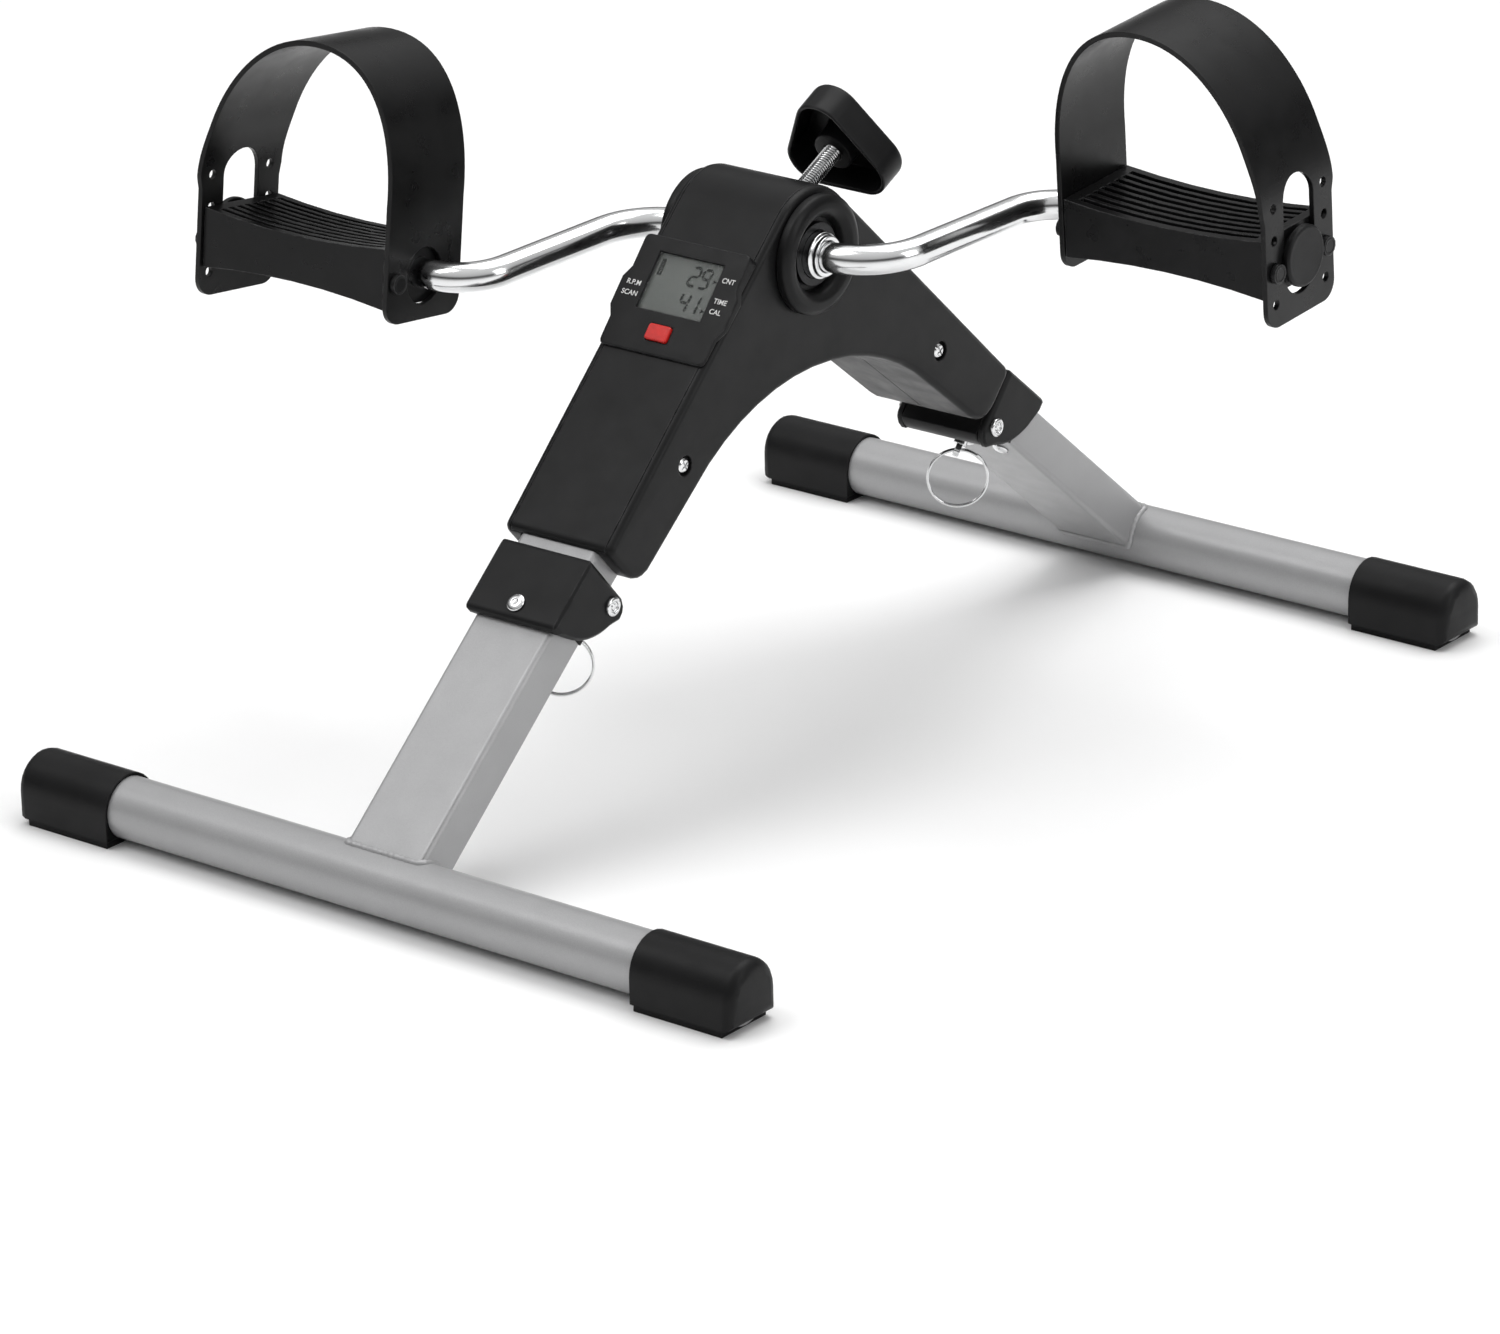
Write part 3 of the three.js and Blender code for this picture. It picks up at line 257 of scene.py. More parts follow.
def painted():
    """Silver paint: fine metal flake, slight orange peel, and paint thinned on edges."""
    s = Surface("silver_paint", (0.38, 0.38, 0.385), 0.42, 0.3,
                Coat_Weight=0.12, Coat_Roughness=0.2, Specular_IOR_Level=0.45)
    edge = s.edges(0.7)
    flake = s.span(s.noise(0.22, 1), 0.35, 0.65)
    cloud = s.span(s.noise(35, 3), 0.3, 0.7)
    base = s.blend(flake, (0.33, 0.33, 0.335), (0.40, 0.40, 0.405))
    base = s.blend(s.math("MULTIPLY", cloud, 0.25), base, (0.31, 0.31, 0.315))
    edge_lightening = s.math("MULTIPLY", edge, s.span(s.noise(6, 4), 0.4, 0.7, 0.0, 0.5))
    colour = s.blend(edge_lightening, base, (0.5, 0.5, 0.505))
    rough = s.span(s.noise(9, 4), 0.3, 0.7, 0.36, 0.47)
    s.bump(s.noise(1.6, 2), 0.02)
    s.bump(s.noise(0.3, 1), 0.006)
    return s.finish(colour, rough)


def plated(name, color, low, high, scratch=0.008, stretch=(1, 1, 1)):
    """Bright or dull plating with faint rub marks and an uneven polish."""
    s = Surface(name, color, (low + high) / 2, 1.0)
    smudge = s.span(s.noise(14, 4), 0.3, 0.75, low, high)
    fine = s.span(s.noise(0.9, 3, stretch), 0.3, 0.7, -0.01, 0.02)
    tint = s.blend(s.span(s.noise(20, 3), 0.3, 0.7), color, tuple(c * 0.93 for c in color))
    s.bump(s.noise(0.7, 2, stretch), scratch)
    return s.finish(tint, s.math("ADD", smudge, fine))


def felt():
    s = Surface("felt", (0.11, 0.10, 0.085), 0.95, Sheen_Weight=0.4)
    fibre = s.noise(0.5, 5, (1, 1, 3))
    colour = s.blend(s.span(fibre, 0.3, 0.7), (0.08, 0.072, 0.06), (0.16, 0.145, 0.12))
    s.bump(fibre, 0.25)
    return s.finish(colour, s.span(s.noise(3, 2), 0.3, 0.7, 0.85, 1.0))


def display():
    """Grey-green liquid crystal panel, a little darker towards one side."""
    s = Surface("lcd", (0.1, 0.105, 0.1), 0.35, Specular_IOR_Level=0.2)
    cloud = s.span(s.noise(12, 2), 0.3, 0.7)
    cells = s.span(s.noise(0.25, 1), 0.3, 0.7, 0.0, 0.25)
    base = s.blend(cloud, (0.085, 0.092, 0.086), (0.11, 0.117, 0.11))
    s.bump(s.noise(0.3, 1), 0.004)
    return s.finish(s.blend(cells, base, (0.08, 0.087, 0.081)),
                    s.span(s.noise(8, 2), 0.3, 0.7, 0.28, 0.4))


def board():
    s = Surface("circuit_board", (0.014, 0.1, 0.036), 0.4)
    tracks = s.span(s.noise(1.3, 1, (1, 3, 1)), 0.48, 0.52)
    s.bump(tracks, 0.04)
    return s.finish(s.blend(tracks, (0.012, 0.09, 0.03), (0.03, 0.16, 0.06)),
                    s.span(s.noise(4, 2), 0.3, 0.7, 0.32, 0.5))


def clear():
    s = Surface("clear_plastic", (0.3, 0.32, 0.31), 0.05, Alpha=0.06, IOR=1.49)
    s.bump(s.noise(9, 2), 0.002)
    return s.finish(None, s.span(s.noise(6, 4), 0.3, 0.7, 0.02, 0.1))


def gloss(name, color, dark, low, high):
    s = Surface(name, color, low, Coat_Weight=0.12, Coat_Roughness=0.2,
                Specular_IOR_Level=0.3)
    edge = s.edges(0.5)
    cloud = s.blend(s.span(s.noise(3, 3), 0.3, 0.7), color, dark)
    pale_edge_highlight = tuple(min(1, c * 1.2 + 0.03) for c in color)
    # Paler edges: a painted edge highlight.
    colour = s.blend(s.math("MULTIPLY", edge, 0.5), cloud, pale_edge_highlight)
    s.bump(s.noise(0.35, 2), 0.008)
    return s.finish(colour, s.span(s.noise(4, 3), 0.3, 0.7, low, high))


# Edge colour of black plastic: partly scuffing, partly a painted edge highlight.
BLACK, WORN_AND_HIGHLIGHT = (0.0055, 0.0055, 0.0058), (0.075, 0.075, 0.077)
MATERIALS = {
    "silver_paint": painted(),
    "black_plastic": moulded("black_plastic", BLACK, WORN_AND_HIGHLIGHT, 0.37, 0.45, 0.014, 0.8, 0.9),
    "chrome": plated("chrome", (0.80, 0.805, 0.81), 0.13, 0.2, 0.0015),
    "steel": plated("steel", (0.5, 0.51, 0.52), 0.22, 0.38, 0.02, (1, 4, 1)),
    "nylon": moulded("nylon", (0.72, 0.69, 0.6), (0.8, 0.78, 0.7), 0.45, 0.6, 0.012, 0.3,
                     shine=0.5),
    # Strap edges lighter: partly scuffing, partly a painted edge highlight.
    "strap_rubber": moulded("strap_rubber", (0.0045, 0.0045, 0.0047), (0.035, 0.035, 0.036),
                            0.3, 0.8, 0.006, 0.5, 0.6, 0.24),
    "foot_rubber": moulded("foot_rubber", (0.005, 0.005, 0.0053), (0.035, 0.035, 0.036),
                           0.43, 0.6, 0.026),
    "felt": felt(),
    "clear_plastic": clear(),
    "lcd": display(),
    "circuit_board": board(),
    "red_plastic": gloss("red_plastic", (0.60, 0.014, 0.01), (0.48, 0.011, 0.008), 0.34, 0.46),
}
PRINT_WHITE = gloss("print_white", (0.8, 0.8, 0.79), (0.7, 0.7, 0.69), 0.4, 0.55)
PRINT_DARK = moulded("print_dark", (0.006, 0.0065, 0.006), (0.012, 0.012, 0.012), 0.6, 0.4,
                     0.002, 0.3, 0.2, 0.04)
# Pedal tread: ridge edges much lighter, partly scuffed by shoes and partly a painted highlight.
TREAD = moulded("tread", BLACK, (0.15, 0.15, 0.153), 0.3, 0.6, 0.008, 1.0, 0.6, 0.2)
DARK_METAL = plated("dark_metal", (0.035, 0.035, 0.036), 0.25, 0.4, 0.006)


# ---- mesh helpers ---------------------------------------------------------------
def mesh_of(vertices, faces, place=Matrix()):
    """A mesh in metres from millimetre points; normals are made to face outwards."""
    mesh = bpy.data.meshes.new("piece")
    mesh.from_pydata([(place @ Vector(v)) * MM for v in vertices], [], faces)
    bm = bmesh.new()
    bm.from_mesh(mesh)
    bmesh.ops.remove_doubles(bm, verts=bm.verts, dist=1e-7)
    bmesh.ops.recalc_face_normals(bm, faces=bm.faces)
    bm.to_mesh(mesh)
    bm.free()
    return mesh


def merged(meshes):
    bm = bmesh.new()
    for mesh in meshes:
        bm.from_mesh(mesh)
    out = bpy.data.meshes.new("piece")
    bm.to_mesh(out)
    bm.free()
    return out


def piece(name, mesh, body, slot, replaced=(), material=None, smooth=38):
    obj = bpy.data.objects.new(name, mesh)
    bpy.context.scene.collection.objects.link(obj)
    mesh.materials.clear()
    mesh.materials.append(material or MATERIALS[slot])
    mesh.polygons.foreach_set("use_smooth", [True] * len(mesh.polygons))
    mesh.set_sharp_from_angle(angle=math.radians(smooth))
    flatten = obj.modifiers.new("flatten", "WEIGHTED_NORMAL")
    flatten.keep_sharp = True
    flatten.weight = 90
    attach(obj, body)
    if replaced:
        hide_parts(*replaced)
    return obj


def stands_for(node, mesh, **options):
    return piece(f"{node}_skin", mesh, BODY_OF[node], SLOT_OF[node], (node,), **options)


def split_large_faces(bm):
    """Splits faces with many sides, which a bevel can leave badly shaped."""
    bmesh.ops.triangulate(bm, faces=[f for f in bm.faces if len(f.verts) > 4])


def bevelled(mesh, width, angle=32, segments=2):
    """Rounds the edges sharper than angle, by less where there is too little room."""
    bm = bmesh.new()
    bm.from_mesh(mesh)
    bmesh.ops.remove_doubles(bm, verts=bm.verts, dist=2e-6)
    bmesh.ops.dissolve_limit(bm, angle_limit=math.radians(0.6), verts=bm.verts, edges=bm.edges)
    split_large_faces(bm)
    if width:
        sharp = [e for e in bm.edges if len(e.link_faces) == 2
                 and e.calc_face_angle(0) > math.radians(angle)]
        bmesh.ops.bevel(bm, geom=sharp, offset=width * MM, offset_type="OFFSET",
                        segments=segments, profile=0.5, affect="EDGES", clamp_overlap=True)
        split_large_faces(bm)
    out = bpy.data.meshes.new("piece")
    bm.to_mesh(out)
    bm.free()
    return out


def refined(node, width=0.3, angle=32, **options):
    """A copy of a CAD node with its edges rounded and its curves shaded smooth."""
    return stands_for(node, bevelled(NODES[node].data, width, angle), **options)


def soften(points, radius, steps=3):
    """Rounds the corners of an open (distance, radius) profile."""
    out = [points[0]]
    for before, corner, after in zip(points, points[1:], points[2:]):
        p, q, r = (Vector(v) for v in (before, corner, after))
        reach = min(radius, (p - q).length / 2.2, (r - q).length / 2.2)
        a, b = q + (p - q).normalized() * reach, q + (r - q).normalized() * reach
        for i in range(steps + 1):
            t = i / steps
            out.append(tuple(a * (1 - t) ** 2 + q * 2 * t * (1 - t) + b * t * t))
    return out + [points[-1]]


def lathe(profile, place=Matrix(), segments=48):
    """Turned about X from (distance along X, radius) points."""
    vertices, faces, rings = [], [], []
    for along, radius in profile:
        count = 1 if radius < 1e-6 else segments
        rings.append([len(vertices) + k for k in range(count)])
        for k in range(count):
            a = 2 * math.pi * k / segments
            vertices.append((along, radius * math.cos(a), radius * math.sin(a)))
    for first, second in zip(rings, rings[1:]):
        for k in range(segments):
            quad = [first[k % len(first)], first[(k + 1) % len(first)],
                    second[(k + 1) % len(second)], second[k % len(second)]]
            corners = list(dict.fromkeys(quad))
            if len(corners) > 2:
                faces.append(corners)
    return mesh_of(vertices, faces, place)


def sweep(path, radii, segments=16, closed=False, place=Matrix()):
    """A round section carried along a path, with one radius per point."""
    points = [Vector(p) for p in path]
    count = len(points)
    tangents = []
    for i in range(count):
        a = points[(i - 1) % count] if closed or i else points[0]
        b = points[(i + 1) % count] if closed or i < count - 1 else points[-1]
        tangents.append((b - a).normalized())
    side = tangents[0].orthogonal().normalized()
    vertices = []
    for point, tangent, radius in zip(points, tangents, radii):
        side = (side - tangent * side.dot(tangent)).normalized()
        other = tangent.cross(side)
        for k in range(segments):
            a = 2 * math.pi * k / segments
            vertices.append(point + (side * math.cos(a) + other * math.sin(a)) * radius)
    faces = []
    for i in range(count if closed else count - 1):
        j = (i + 1) % count
        for k in range(segments):
            m = (k + 1) % segments
            faces.append((i * segments + k, i * segments + m, j * segments + m, j * segments + k))
    if not closed:
        faces.append(tuple(range(segments)))
        faces.append(tuple(range((count - 1) * segments, count * segments)))
    return mesh_of(vertices, faces, place)


def loft(rings, place=Matrix()):
    """Skins closed rings of equal length and closes both ends."""
    n = len(rings[0])
    vertices = [v for ring in rings for v in ring]
    faces = [tuple(range(n)), tuple(range(len(vertices) - n, len(vertices)))]
    for i in range(len(rings) - 1):
        for k in range(n):
            m = (k + 1) % n
            faces.append((i * n + k, i * n + m, (i + 1) * n + m, (i + 1) * n + k))
    return mesh_of(vertices, faces, place)


def prism(outline, low, high, place=Matrix()):
    """An (a, b) outline raised from low to high along the third axis."""
    return loft([[(a, b, h) for a, b in outline] for h in (low, high)], place)


def prism_x(outline, low, high):
    """A (y, z) outline raised along X."""
    return loft([[(x, y, z) for y, z in outline] for x in (low, high)])


def arc(cx, cy, radius, start, end, steps):
    angles = (math.radians(start + (end - start) * i / steps) for i in range(steps + 1))
    return [(cx + radius * math.cos(a), cy + radius * math.sin(a)) for a in angles]


def carve(mesh, tools):
    """Exact boolean difference of a mesh and its tools."""
    def shown(data):
        obj = bpy.data.objects.new("work", data)
        bpy.context.scene.collection.objects.link(obj)
        return obj

    body = shown(mesh)
    cutter = shown(merged(tools))
    modifier = body.modifiers.new("cut", "BOOLEAN")
    modifier.object, modifier.operation, modifier.solver = cutter, "DIFFERENCE", "EXACT"
    modifier.use_self = True
    bpy.context.view_layer.update()
    result = bpy.data.meshes.new_from_object(
        body.evaluated_get(bpy.context.evaluated_depsgraph_get()))
    for obj in (body, cutter):
        bpy.data.objects.remove(obj)
    return result


# ---- frame, covers and small CAD pieces that keep their shape -----------------------
for node, width in {
        "main_frame": 0, "front_hinge_knuckle": 0.5, "rear_hinge_knuckle": 0.5,
        "centre_cover": 0.4, "right_side_cover": 0.25, "left_side_cover": 0.25,
        "sensor_magnet": 0.3, "reed_sensor": 0.3, "tension_nut": 0.4, "brake_shoe": 0.5,
        "counter_bezel": 0.25, "lcd_panel": 0.15, "circuit_board": 0.15,
        "counter_battery": 0.4, "counter_back_plate": 0.2, "counter_button": 0.25,
        "front_leg_tube": 0, "rear_leg_tube": 0, "front_foot_cap_left": 0,
        "front_foot_cap_right": 0, "rear_foot_cap_left": 0, "rear_foot_cap_right": 0,
        "front_hinge_collar": 0.8,
        "rear_hinge_collar": 0.8, "front_lock_pin": 0.2, "rear_lock_pin": 0.2,
        "counter_window": 0.2}.items():
    refined(node, width)
for side in ("right", "left"):
    refined(f"{side}_pedal_body", 0.25, material=TREAD)


# ---- turned pieces -----------------------------------------------------------------
SIDES = {"right": Matrix(), "left": TURN}
for side, turn in SIDES.items():
    place = at(0, 0, CRANK_Z) @ turn
    boss = soften([(28.3, 15.2), (28.3, BOSS_R), (32.2, BOSS_R), (BOSS_FACE_X, BOSS_R - 2.6),
                   (BOSS_FACE_X, BOSS_R - 6.2), (BOSS_FACE_X - 1.1, 17.6),
                   (BOSS_FACE_X - 2.2, 16.4), (28.3, 15.2)], 1.0)
    stands_for(f"{side}_crank_boss", lathe(boss, place, 96))
    bush = soften([(14, 6.45), (14, 13.6), (20.3, 13.6), (20.3, 16.3), (21.6, 16.3),
                   (21.6, 6.45), (14, 6.45)], 0.4)
    stands_for(f"{side}_crank_bush", lathe(bush, place, 64))
    sleeve = soften([(22, 6.65), (22, 10), (30.4, 10), (33.4, 10), (34, 8.6), (36, 8.6),
                     (36, 6.65), (22, 6.65)], 0.5)
    stands_for(f"{side}_crank_collar", lathe(sleeve, CRANK @ turn, 64))
    washer = soften([(28.5, 10.1), (28.5, 13.4), (30.1, 13.4), (30.1, 10.1), (28.5, 10.1)], 0.3)
    piece(f"{side}_crank_washer", lathe(washer, CRANK @ turn, 64), "crank", "steel",
          material=DARK_METAL)

bar_end = FOOT_BAR_LENGTH / 2 - 4.4
tube = soften([(-bar_end, FOOT_TUBE_R - FOOT_TUBE_WALL), (-bar_end, FOOT_TUBE_R),
               (bar_end, FOOT_TUBE_R), (bar_end, FOOT_TUBE_R - FOOT_TUBE_WALL),
               (-bar_end, FOOT_TUBE_R - FOOT_TUBE_WALL)], 0.3)
PIN_HEAD = COLLAR_HALF_WIDTH + 0.15
rolled = [(PIN_HEAD, 3), (PIN_HEAD, 4.2), (PIN_HEAD + 1.2, 4.0), (PIN_HEAD + 1.6, 3.2),
          (PIN_HEAD + 1.5, 2.5), (PIN_HEAD + 0.5, 2.2), (PIN_HEAD + 0.5, 1.5),
          (PIN_HEAD + 1.2, 1.1), (PIN_HEAD + 1.2, 0)]
pivot = [(-x, r) for x, r in reversed(soften(rolled, 0.3))] + soften(rolled, 0.3)
TOP = COLLAR_TOP_N + 0.15
rivet = soften([(10.6, 0), (10.6, 2.2), (TOP, 2.2), (TOP, 4.1), (TOP + 0.9, 3.9),
                (TOP + 1.5, 2.6), (TOP + 1.6, 1.5), (TOP + 1.2, 1.2), (TOP + 1.2, 0)], 0.4)
under_rivet = soften([(-8.7, 0), (-8.7, 1.6), (-10.15, 1.6), (-10.15, 3.8), (-10.9, 3.5),
                      (-11.8, 2.0), (-12.1, 0)], 0.5)
for name, place in LEG.items():
    side = 1 if name == "rear" else -1
    stands_for(f"{name}_foot_tube",
               lathe(tube, at(0, side * FOOT_SPREAD, FOOT_AXIS_Z), 96))
    stands_for(f"{name}_pivot_pin", lathe(pivot, place @ at(0, PIVOT_U, PIVOT_N), 48))
    stands_for(f"{name}_collar_rivet", lathe(rivet, place @ at(0, -14, 0) @ X_TO_Z, 40))
    for i, x in enumerate((-9, 9)):
        stands_for(f"{name}_under_rivet_{i + 1}",
                   lathe(under_rivet, place @ at(x, -3.5, 0) @ X_TO_Z, 32))

# Cross-recess screws that hold the side covers.
seat = SIDE_COVER_X - 2.4 + 0.15
screw_profile = soften([(17.5, 0), (17.5, 1.6), (seat, 1.6), (seat, 3.5), (seat + 1.1, 3.4),
                        (seat + 1.9, 2.3), (seat + 2.1, 0)], 0.35)
for side, turn in (("right", 1), ("left", -1)):
    for end, sign in (("front", -1), ("rear", 1)):
        head = lathe(screw_profile, segments=40)
        arms = [prism_x([(-a, -b), (a, -b), (a, b), (-a, b)], seat + 0.9, seat + 3)
                for a, b in ((2.1, 0.42), (0.42, 2.1))]
        cut_head = carve(head, arms)
        cut_head.transform(at(0, sign * COVER_SCREW[0] * MM, COVER_SCREW[1] * MM)
                           @ Matrix.Diagonal((turn, 1, 1, 1)) @ rot(0.5, "X"))
        if turn < 0:
            cut_head.flip_normals()
        stands_for(f"cover_screw_{side}_{end}", cut_head, smooth=30)


# ---- crank rod ---------------------------------------------------------------------
BEND_STEPS = 14


def rod_path():
    """The rod's axis in its own plane, straight between rounded bends."""
    end = PEDAL_INNER_X + PEDAL_LENGTH - 4
    corners = [Vector(c) for c in ((-end, -THROW), (-OUTER_BEND[0], -THROW),
               (-INNER_BEND[0], 0), (INNER_BEND[0], 0), (OUTER_BEND[0], THROW), (end, THROW))]
    path = [corners[0]]
    for i, radius in ((1, OUTER_BEND[1]), (2, INNER_BEND[1]), (3, INNER_BEND[1]),
                      (4, OUTER_BEND[1])):
        a = (corners[i - 1] - corners[i]).normalized()
        b = (corners[i + 1] - corners[i]).normalized()
        half = a.angle(b) / 2
        start = corners[i] + a * radius / math.tan(half)
        stop = corners[i] + b * radius / math.tan(half)
        centre = corners[i] + (a + b).normalized() * radius / math.sin(half)
        v0, v1 = start - centre, stop - centre
        turn = math.atan2(v0.cross(v1), v0.dot(v1))
        for k in range(BEND_STEPS + 1):
            path.append(centre + Matrix.Rotation(turn * k / BEND_STEPS, 2) @ v0)
    path.append(corners[5])
    return [(p.x, p.y, 0) for p in path]


rod = rod_path()
stands_for("crank_rod", sweep(rod, [ROD_R] * len(rod), 48, place=CRANK))


# ---- tension screw and knob -----------------------------------------------------------
def threaded(low, high, segments=28, per_turn=8):
    """A rod with a cut V thread; the ends run out plain."""
    depth = 0.75
    rings = []
    steps = int((high - low) / SCREW_PITCH * per_turn)
    for i in range(steps + 1):
        z = low + (high - low) * i / steps
        ring = []
        for k in range(segments):
            phase = (z / SCREW_PITCH - k / segments) % 1
            fade = min(1, (z - low) / 1.0, (high - z) / 1.0)
            radius = SCREW_R - 0.05 - depth * min(1, 2.2 * abs(phase - 0.5)) * max(0, fade)
            a = 2 * math.pi * k / segments
            ring.append((radius * math.cos(a), radius * math.sin(a), z))
        rings.append(ring)
    return loft(rings, TENSION)


stands_for("tension_screw", threaded(SCREW_TIP, KNOB_TOP - 4), smooth=30)


def knob_ring(shrink, height, steps=16):
    """Rounded three-lobed outline, pulled in by shrink."""
    lobe, reach = 12.4 - shrink, 14.4
    ring = []
    for i in range(3):
        middle = 30 + 120 * i
        centre = (reach * math.cos(math.radians(middle)), reach * math.sin(math.radians(middle)))
        ring += [(x, y, height) for x, y in arc(*centre, lobe, middle - 60, middle + 60, steps)]
    return ring


knob_levels = [(2.2, KNOB_TOP - 2.2), (2.0, KNOB_TOP - 2.6), (1.9, KNOB_RIM + 0.6),
               (1.6, KNOB_RIM + 0.2), (1.1, KNOB_RIM), (0.5, KNOB_RIM), (0.2, KNOB_RIM + 0.25),
               (0.05, KNOB_RIM + 0.8), (0.0, KNOB_TOP - 2.6), (0.15, KNOB_TOP - 1.7),
               (0.6, KNOB_TOP - 0.8), (1.3, KNOB_TOP - 0.25), (2.3, KNOB_TOP)]
shell = loft([knob_ring(s, h) for s, h in knob_levels], TENSION)
hub = lathe(soften([(KNOB_RIM + 1.5, 4.3), (KNOB_RIM + 1.5, 8.9), (KNOB_TOP - 4, 9.2),
                    (KNOB_TOP - 2.1, 10), (KNOB_TOP - 2.1, 4.3), (KNOB_RIM + 1.5, 4.3)], 0.6),
            TENSION @ X_TO_Z, 56)
stands_for("tension_knob", merged([shell, hub]))


# ---- straps and pedal caps ---------------------------------------------------------------
def bezier(p0, p1, p2, p3, steps):
    p0, p1, p2, p3 = (Vector(p) for p in (p0, p1, p2, p3))
    for i in range(1, steps + 1):
        t = i / steps
        yield (p0 * (1 - t) ** 3 + p1 * 3 * t * (1 - t) ** 2
               + p2 * 3 * t * t * (1 - t) + p3 * t ** 3)


def strap_mesh(place):
    """A moulded band bent over the foot, with an end plate hooked on each pedal end."""
    low_in, low_out = STRAP_LOW
    line = [Vector((0, low_in)), Vector((0, 5)), Vector((0, 30))]
    line += bezier((0, 30), (-1.5, 62), (10, 92), (43.5, 92), 26)
    line += bezier((43.5, 92), (70, 92), (89, 71), (97, 50), 22)
    line += bezier((97, 50), (100.5, 41), (PEDAL_LENGTH, 33), (PEDAL_LENGTH, 24), 12)
    line += [Vector((PEDAL_LENGTH, 0)), Vector((PEDAL_LENGTH, low_out))]
    rings = []
    for i, p in enumerate(line):
        along = (line[min(i + 1, len(line) - 1)] - line[max(i - 1, 0)]).normalized()
        inward = Vector((along.y, -along.x)) * STRAP_THICKNESS
        t = min(1, max(0, p.x / PEDAL_LENGTH))
        half = STRAP_HALF_WIDTH[0] * (1 - t) + STRAP_HALF_WIDTH[1] * t
        q = p + inward
        rings.append([(p.x, -half, p.y), (p.x, half, p.y), (q.x, half, q.y), (q.x, -half, q.y)])
    band = loft(rings)
    tools = []
    for sign in (-1, 1):
        wide, r = STRAP_END_HALF_WIDTH, 8
        corner = arc(wide - r, low_out + r, r, -90, 0, 8)
        tools.append(prism_x([(sign * y, z) for y, z in
                              [(wide - r, low_out - 4), *corner, (wide, 20),
                               (STRAP_HALF_WIDTH[1] + 0.4, 27), (40, 27),
                               (40, low_out - 4)]], 90, 115))
        wide = STRAP_HALF_WIDTH[0] + 0.05
        corner = arc(wide - r, low_in + r, r, -90, 0, 8)
        tools.append(prism_x([(sign * y, z) for y, z in
                              [(wide - r, low_in - 4), *corner, (40, low_in + r),
                               (40, low_in - 4)]], -5, 6))
        for i in (-1, 1, 2):
            hole = arc(sign * STUD_Y, STUD_Z + i * HOLE_PITCH, 2.1, 0, 337.5, 15)
            tools.append(prism_x(hole, 90, 115))
    for low, high, x0, x1 in ((-16.5, 35, 90, 115), (-13, 11, -5, 6)):
        w = SLOT_HALF_WIDTH
        tools.append(prism_x(arc(0, high - w, w, 0, 180, 20) + arc(0, low + w, w, 180, 360, 20),
                             x0, x1))
    cut_band = bevelled(carve(band, tools), 0.45, 40, 2)
    cut_band.transform(at(*(place.translation * MM)) @ place.to_3x3().to_4x4())
    return cut_band


def dished(height, radius):
    """A stud head with a rolled rim and a dished middle."""
    return soften([(0, radius * 0.45), (0, radius), (height * 0.6, radius * 0.97),
                   (height, radius * 0.78), (height * 0.9, radius * 0.55),
                   (height * 0.45, radius * 0.4), (height * 0.35, 0)], 0.3)


cap_profile = soften([
    (PEDAL_LENGTH - 2.4, 0), (PEDAL_LENGTH - 2.4, 10.3), (PEDAL_LENGTH + 0.3, 10.3),
    (PEDAL_LENGTH + 0.3, 13), (PEDAL_LENGTH + 2.6, 13), (PEDAL_LENGTH + 3.4, 12.2),
    (PEDAL_LENGTH + 3.3, 10.6), (PEDAL_LENGTH + 3.2, 0)], 0.5)
for name in SIDES:
    place = pedal_frame(name)
    stands_for(f"{name}_pedal_strap", strap_mesh(place))
    stands_for(f"{name}_pedal_cap", lathe(cap_profile, place, 72))
    heads = []
    for y in (-STUD_Y, STUD_Y):
        spot = place @ at(PEDAL_LENGTH + 0.35, y, STUD_Z)
        heads.append(lathe(dished(2.5, 4.3), spot, 32))
        spot = place @ at(-0.35, y, STUD_Z) @ TURN
        heads.append(lathe(dished(2.4, 4.3), spot, 32))
    piece(f"{name}_stud_heads", merged(heads), f"{name}_pedal", "black_plastic")


# ---- pull rings and weld beads ----------------------------------------------------------
def split_ring(place):
    """A wire ring of two turns lying side by side."""
    turns, spread, wire = 2, 1.15, 0.62
    path = []
    count = 72 * turns
    for i in range(count + 1):
        t = i / count
        a = 2 * math.pi * turns * t + 0.9
        path.append((RING_R * math.cos(a), (t * turns - turns / 2) * spread,
                     RING_R * math.sin(a) - RING_R))
    return sweep(path, [wire] * len(path), 12, place=place)


for name, place in LEG.items():
    eye = REAR_LEG @ Vector((0, LOCK_U, LOCK_EYE_N))
    turn = Matrix() if name == "rear" else TURN
    stands_for(f"{name}_pull_ring",
               split_ring(turn @ at(*eye) @ rot(RING_TURN, "Z")), smooth=80)

random.seed(7)


def weld_bead(place):
    """A hand-laid bead round the leg where it meets the foot tube."""
    w, d, r = LEG_HALF_WIDTH, LEG_HALF_DEPTH, LEG_CORNER_R
    outline = []
    for cx, cy, start in ((w - r, d - r, 0), (-w + r, d - r, 90),
                          (-w + r, -d + r, 180), (w - r, -d + r, 270)):
        outline += arc(cx, cy, r, start, start + 90, 6)
    dense = []
    for a, b in zip(outline, outline[1:] + outline[:1]):
        steps = max(1, round(math.dist(a, b) / 0.8))
        dense += [(a[0] + (b[0] - a[0]) * i / steps, a[1] + (b[1] - a[1]) * i / steps)
                  for i in range(steps)]
    path, radii = [], []
    for i, (x, n) in enumerate(dense):
        u = KNEE_FROM_FOOT - math.sqrt(FOOT_TUBE_R ** 2 - n ** 2)
        path.append((x, u, n))
        radii.append(1.35 + 0.28 * abs(math.sin(i * 0.9)) + random.uniform(-0.12, 0.12))
    return sweep(path, radii, 10, closed=True, place=place)


for name, place in LEG.items():
    piece(f"{name}_weld", weld_bead(place), f"{name}_leg", "silver_paint", smooth=60)


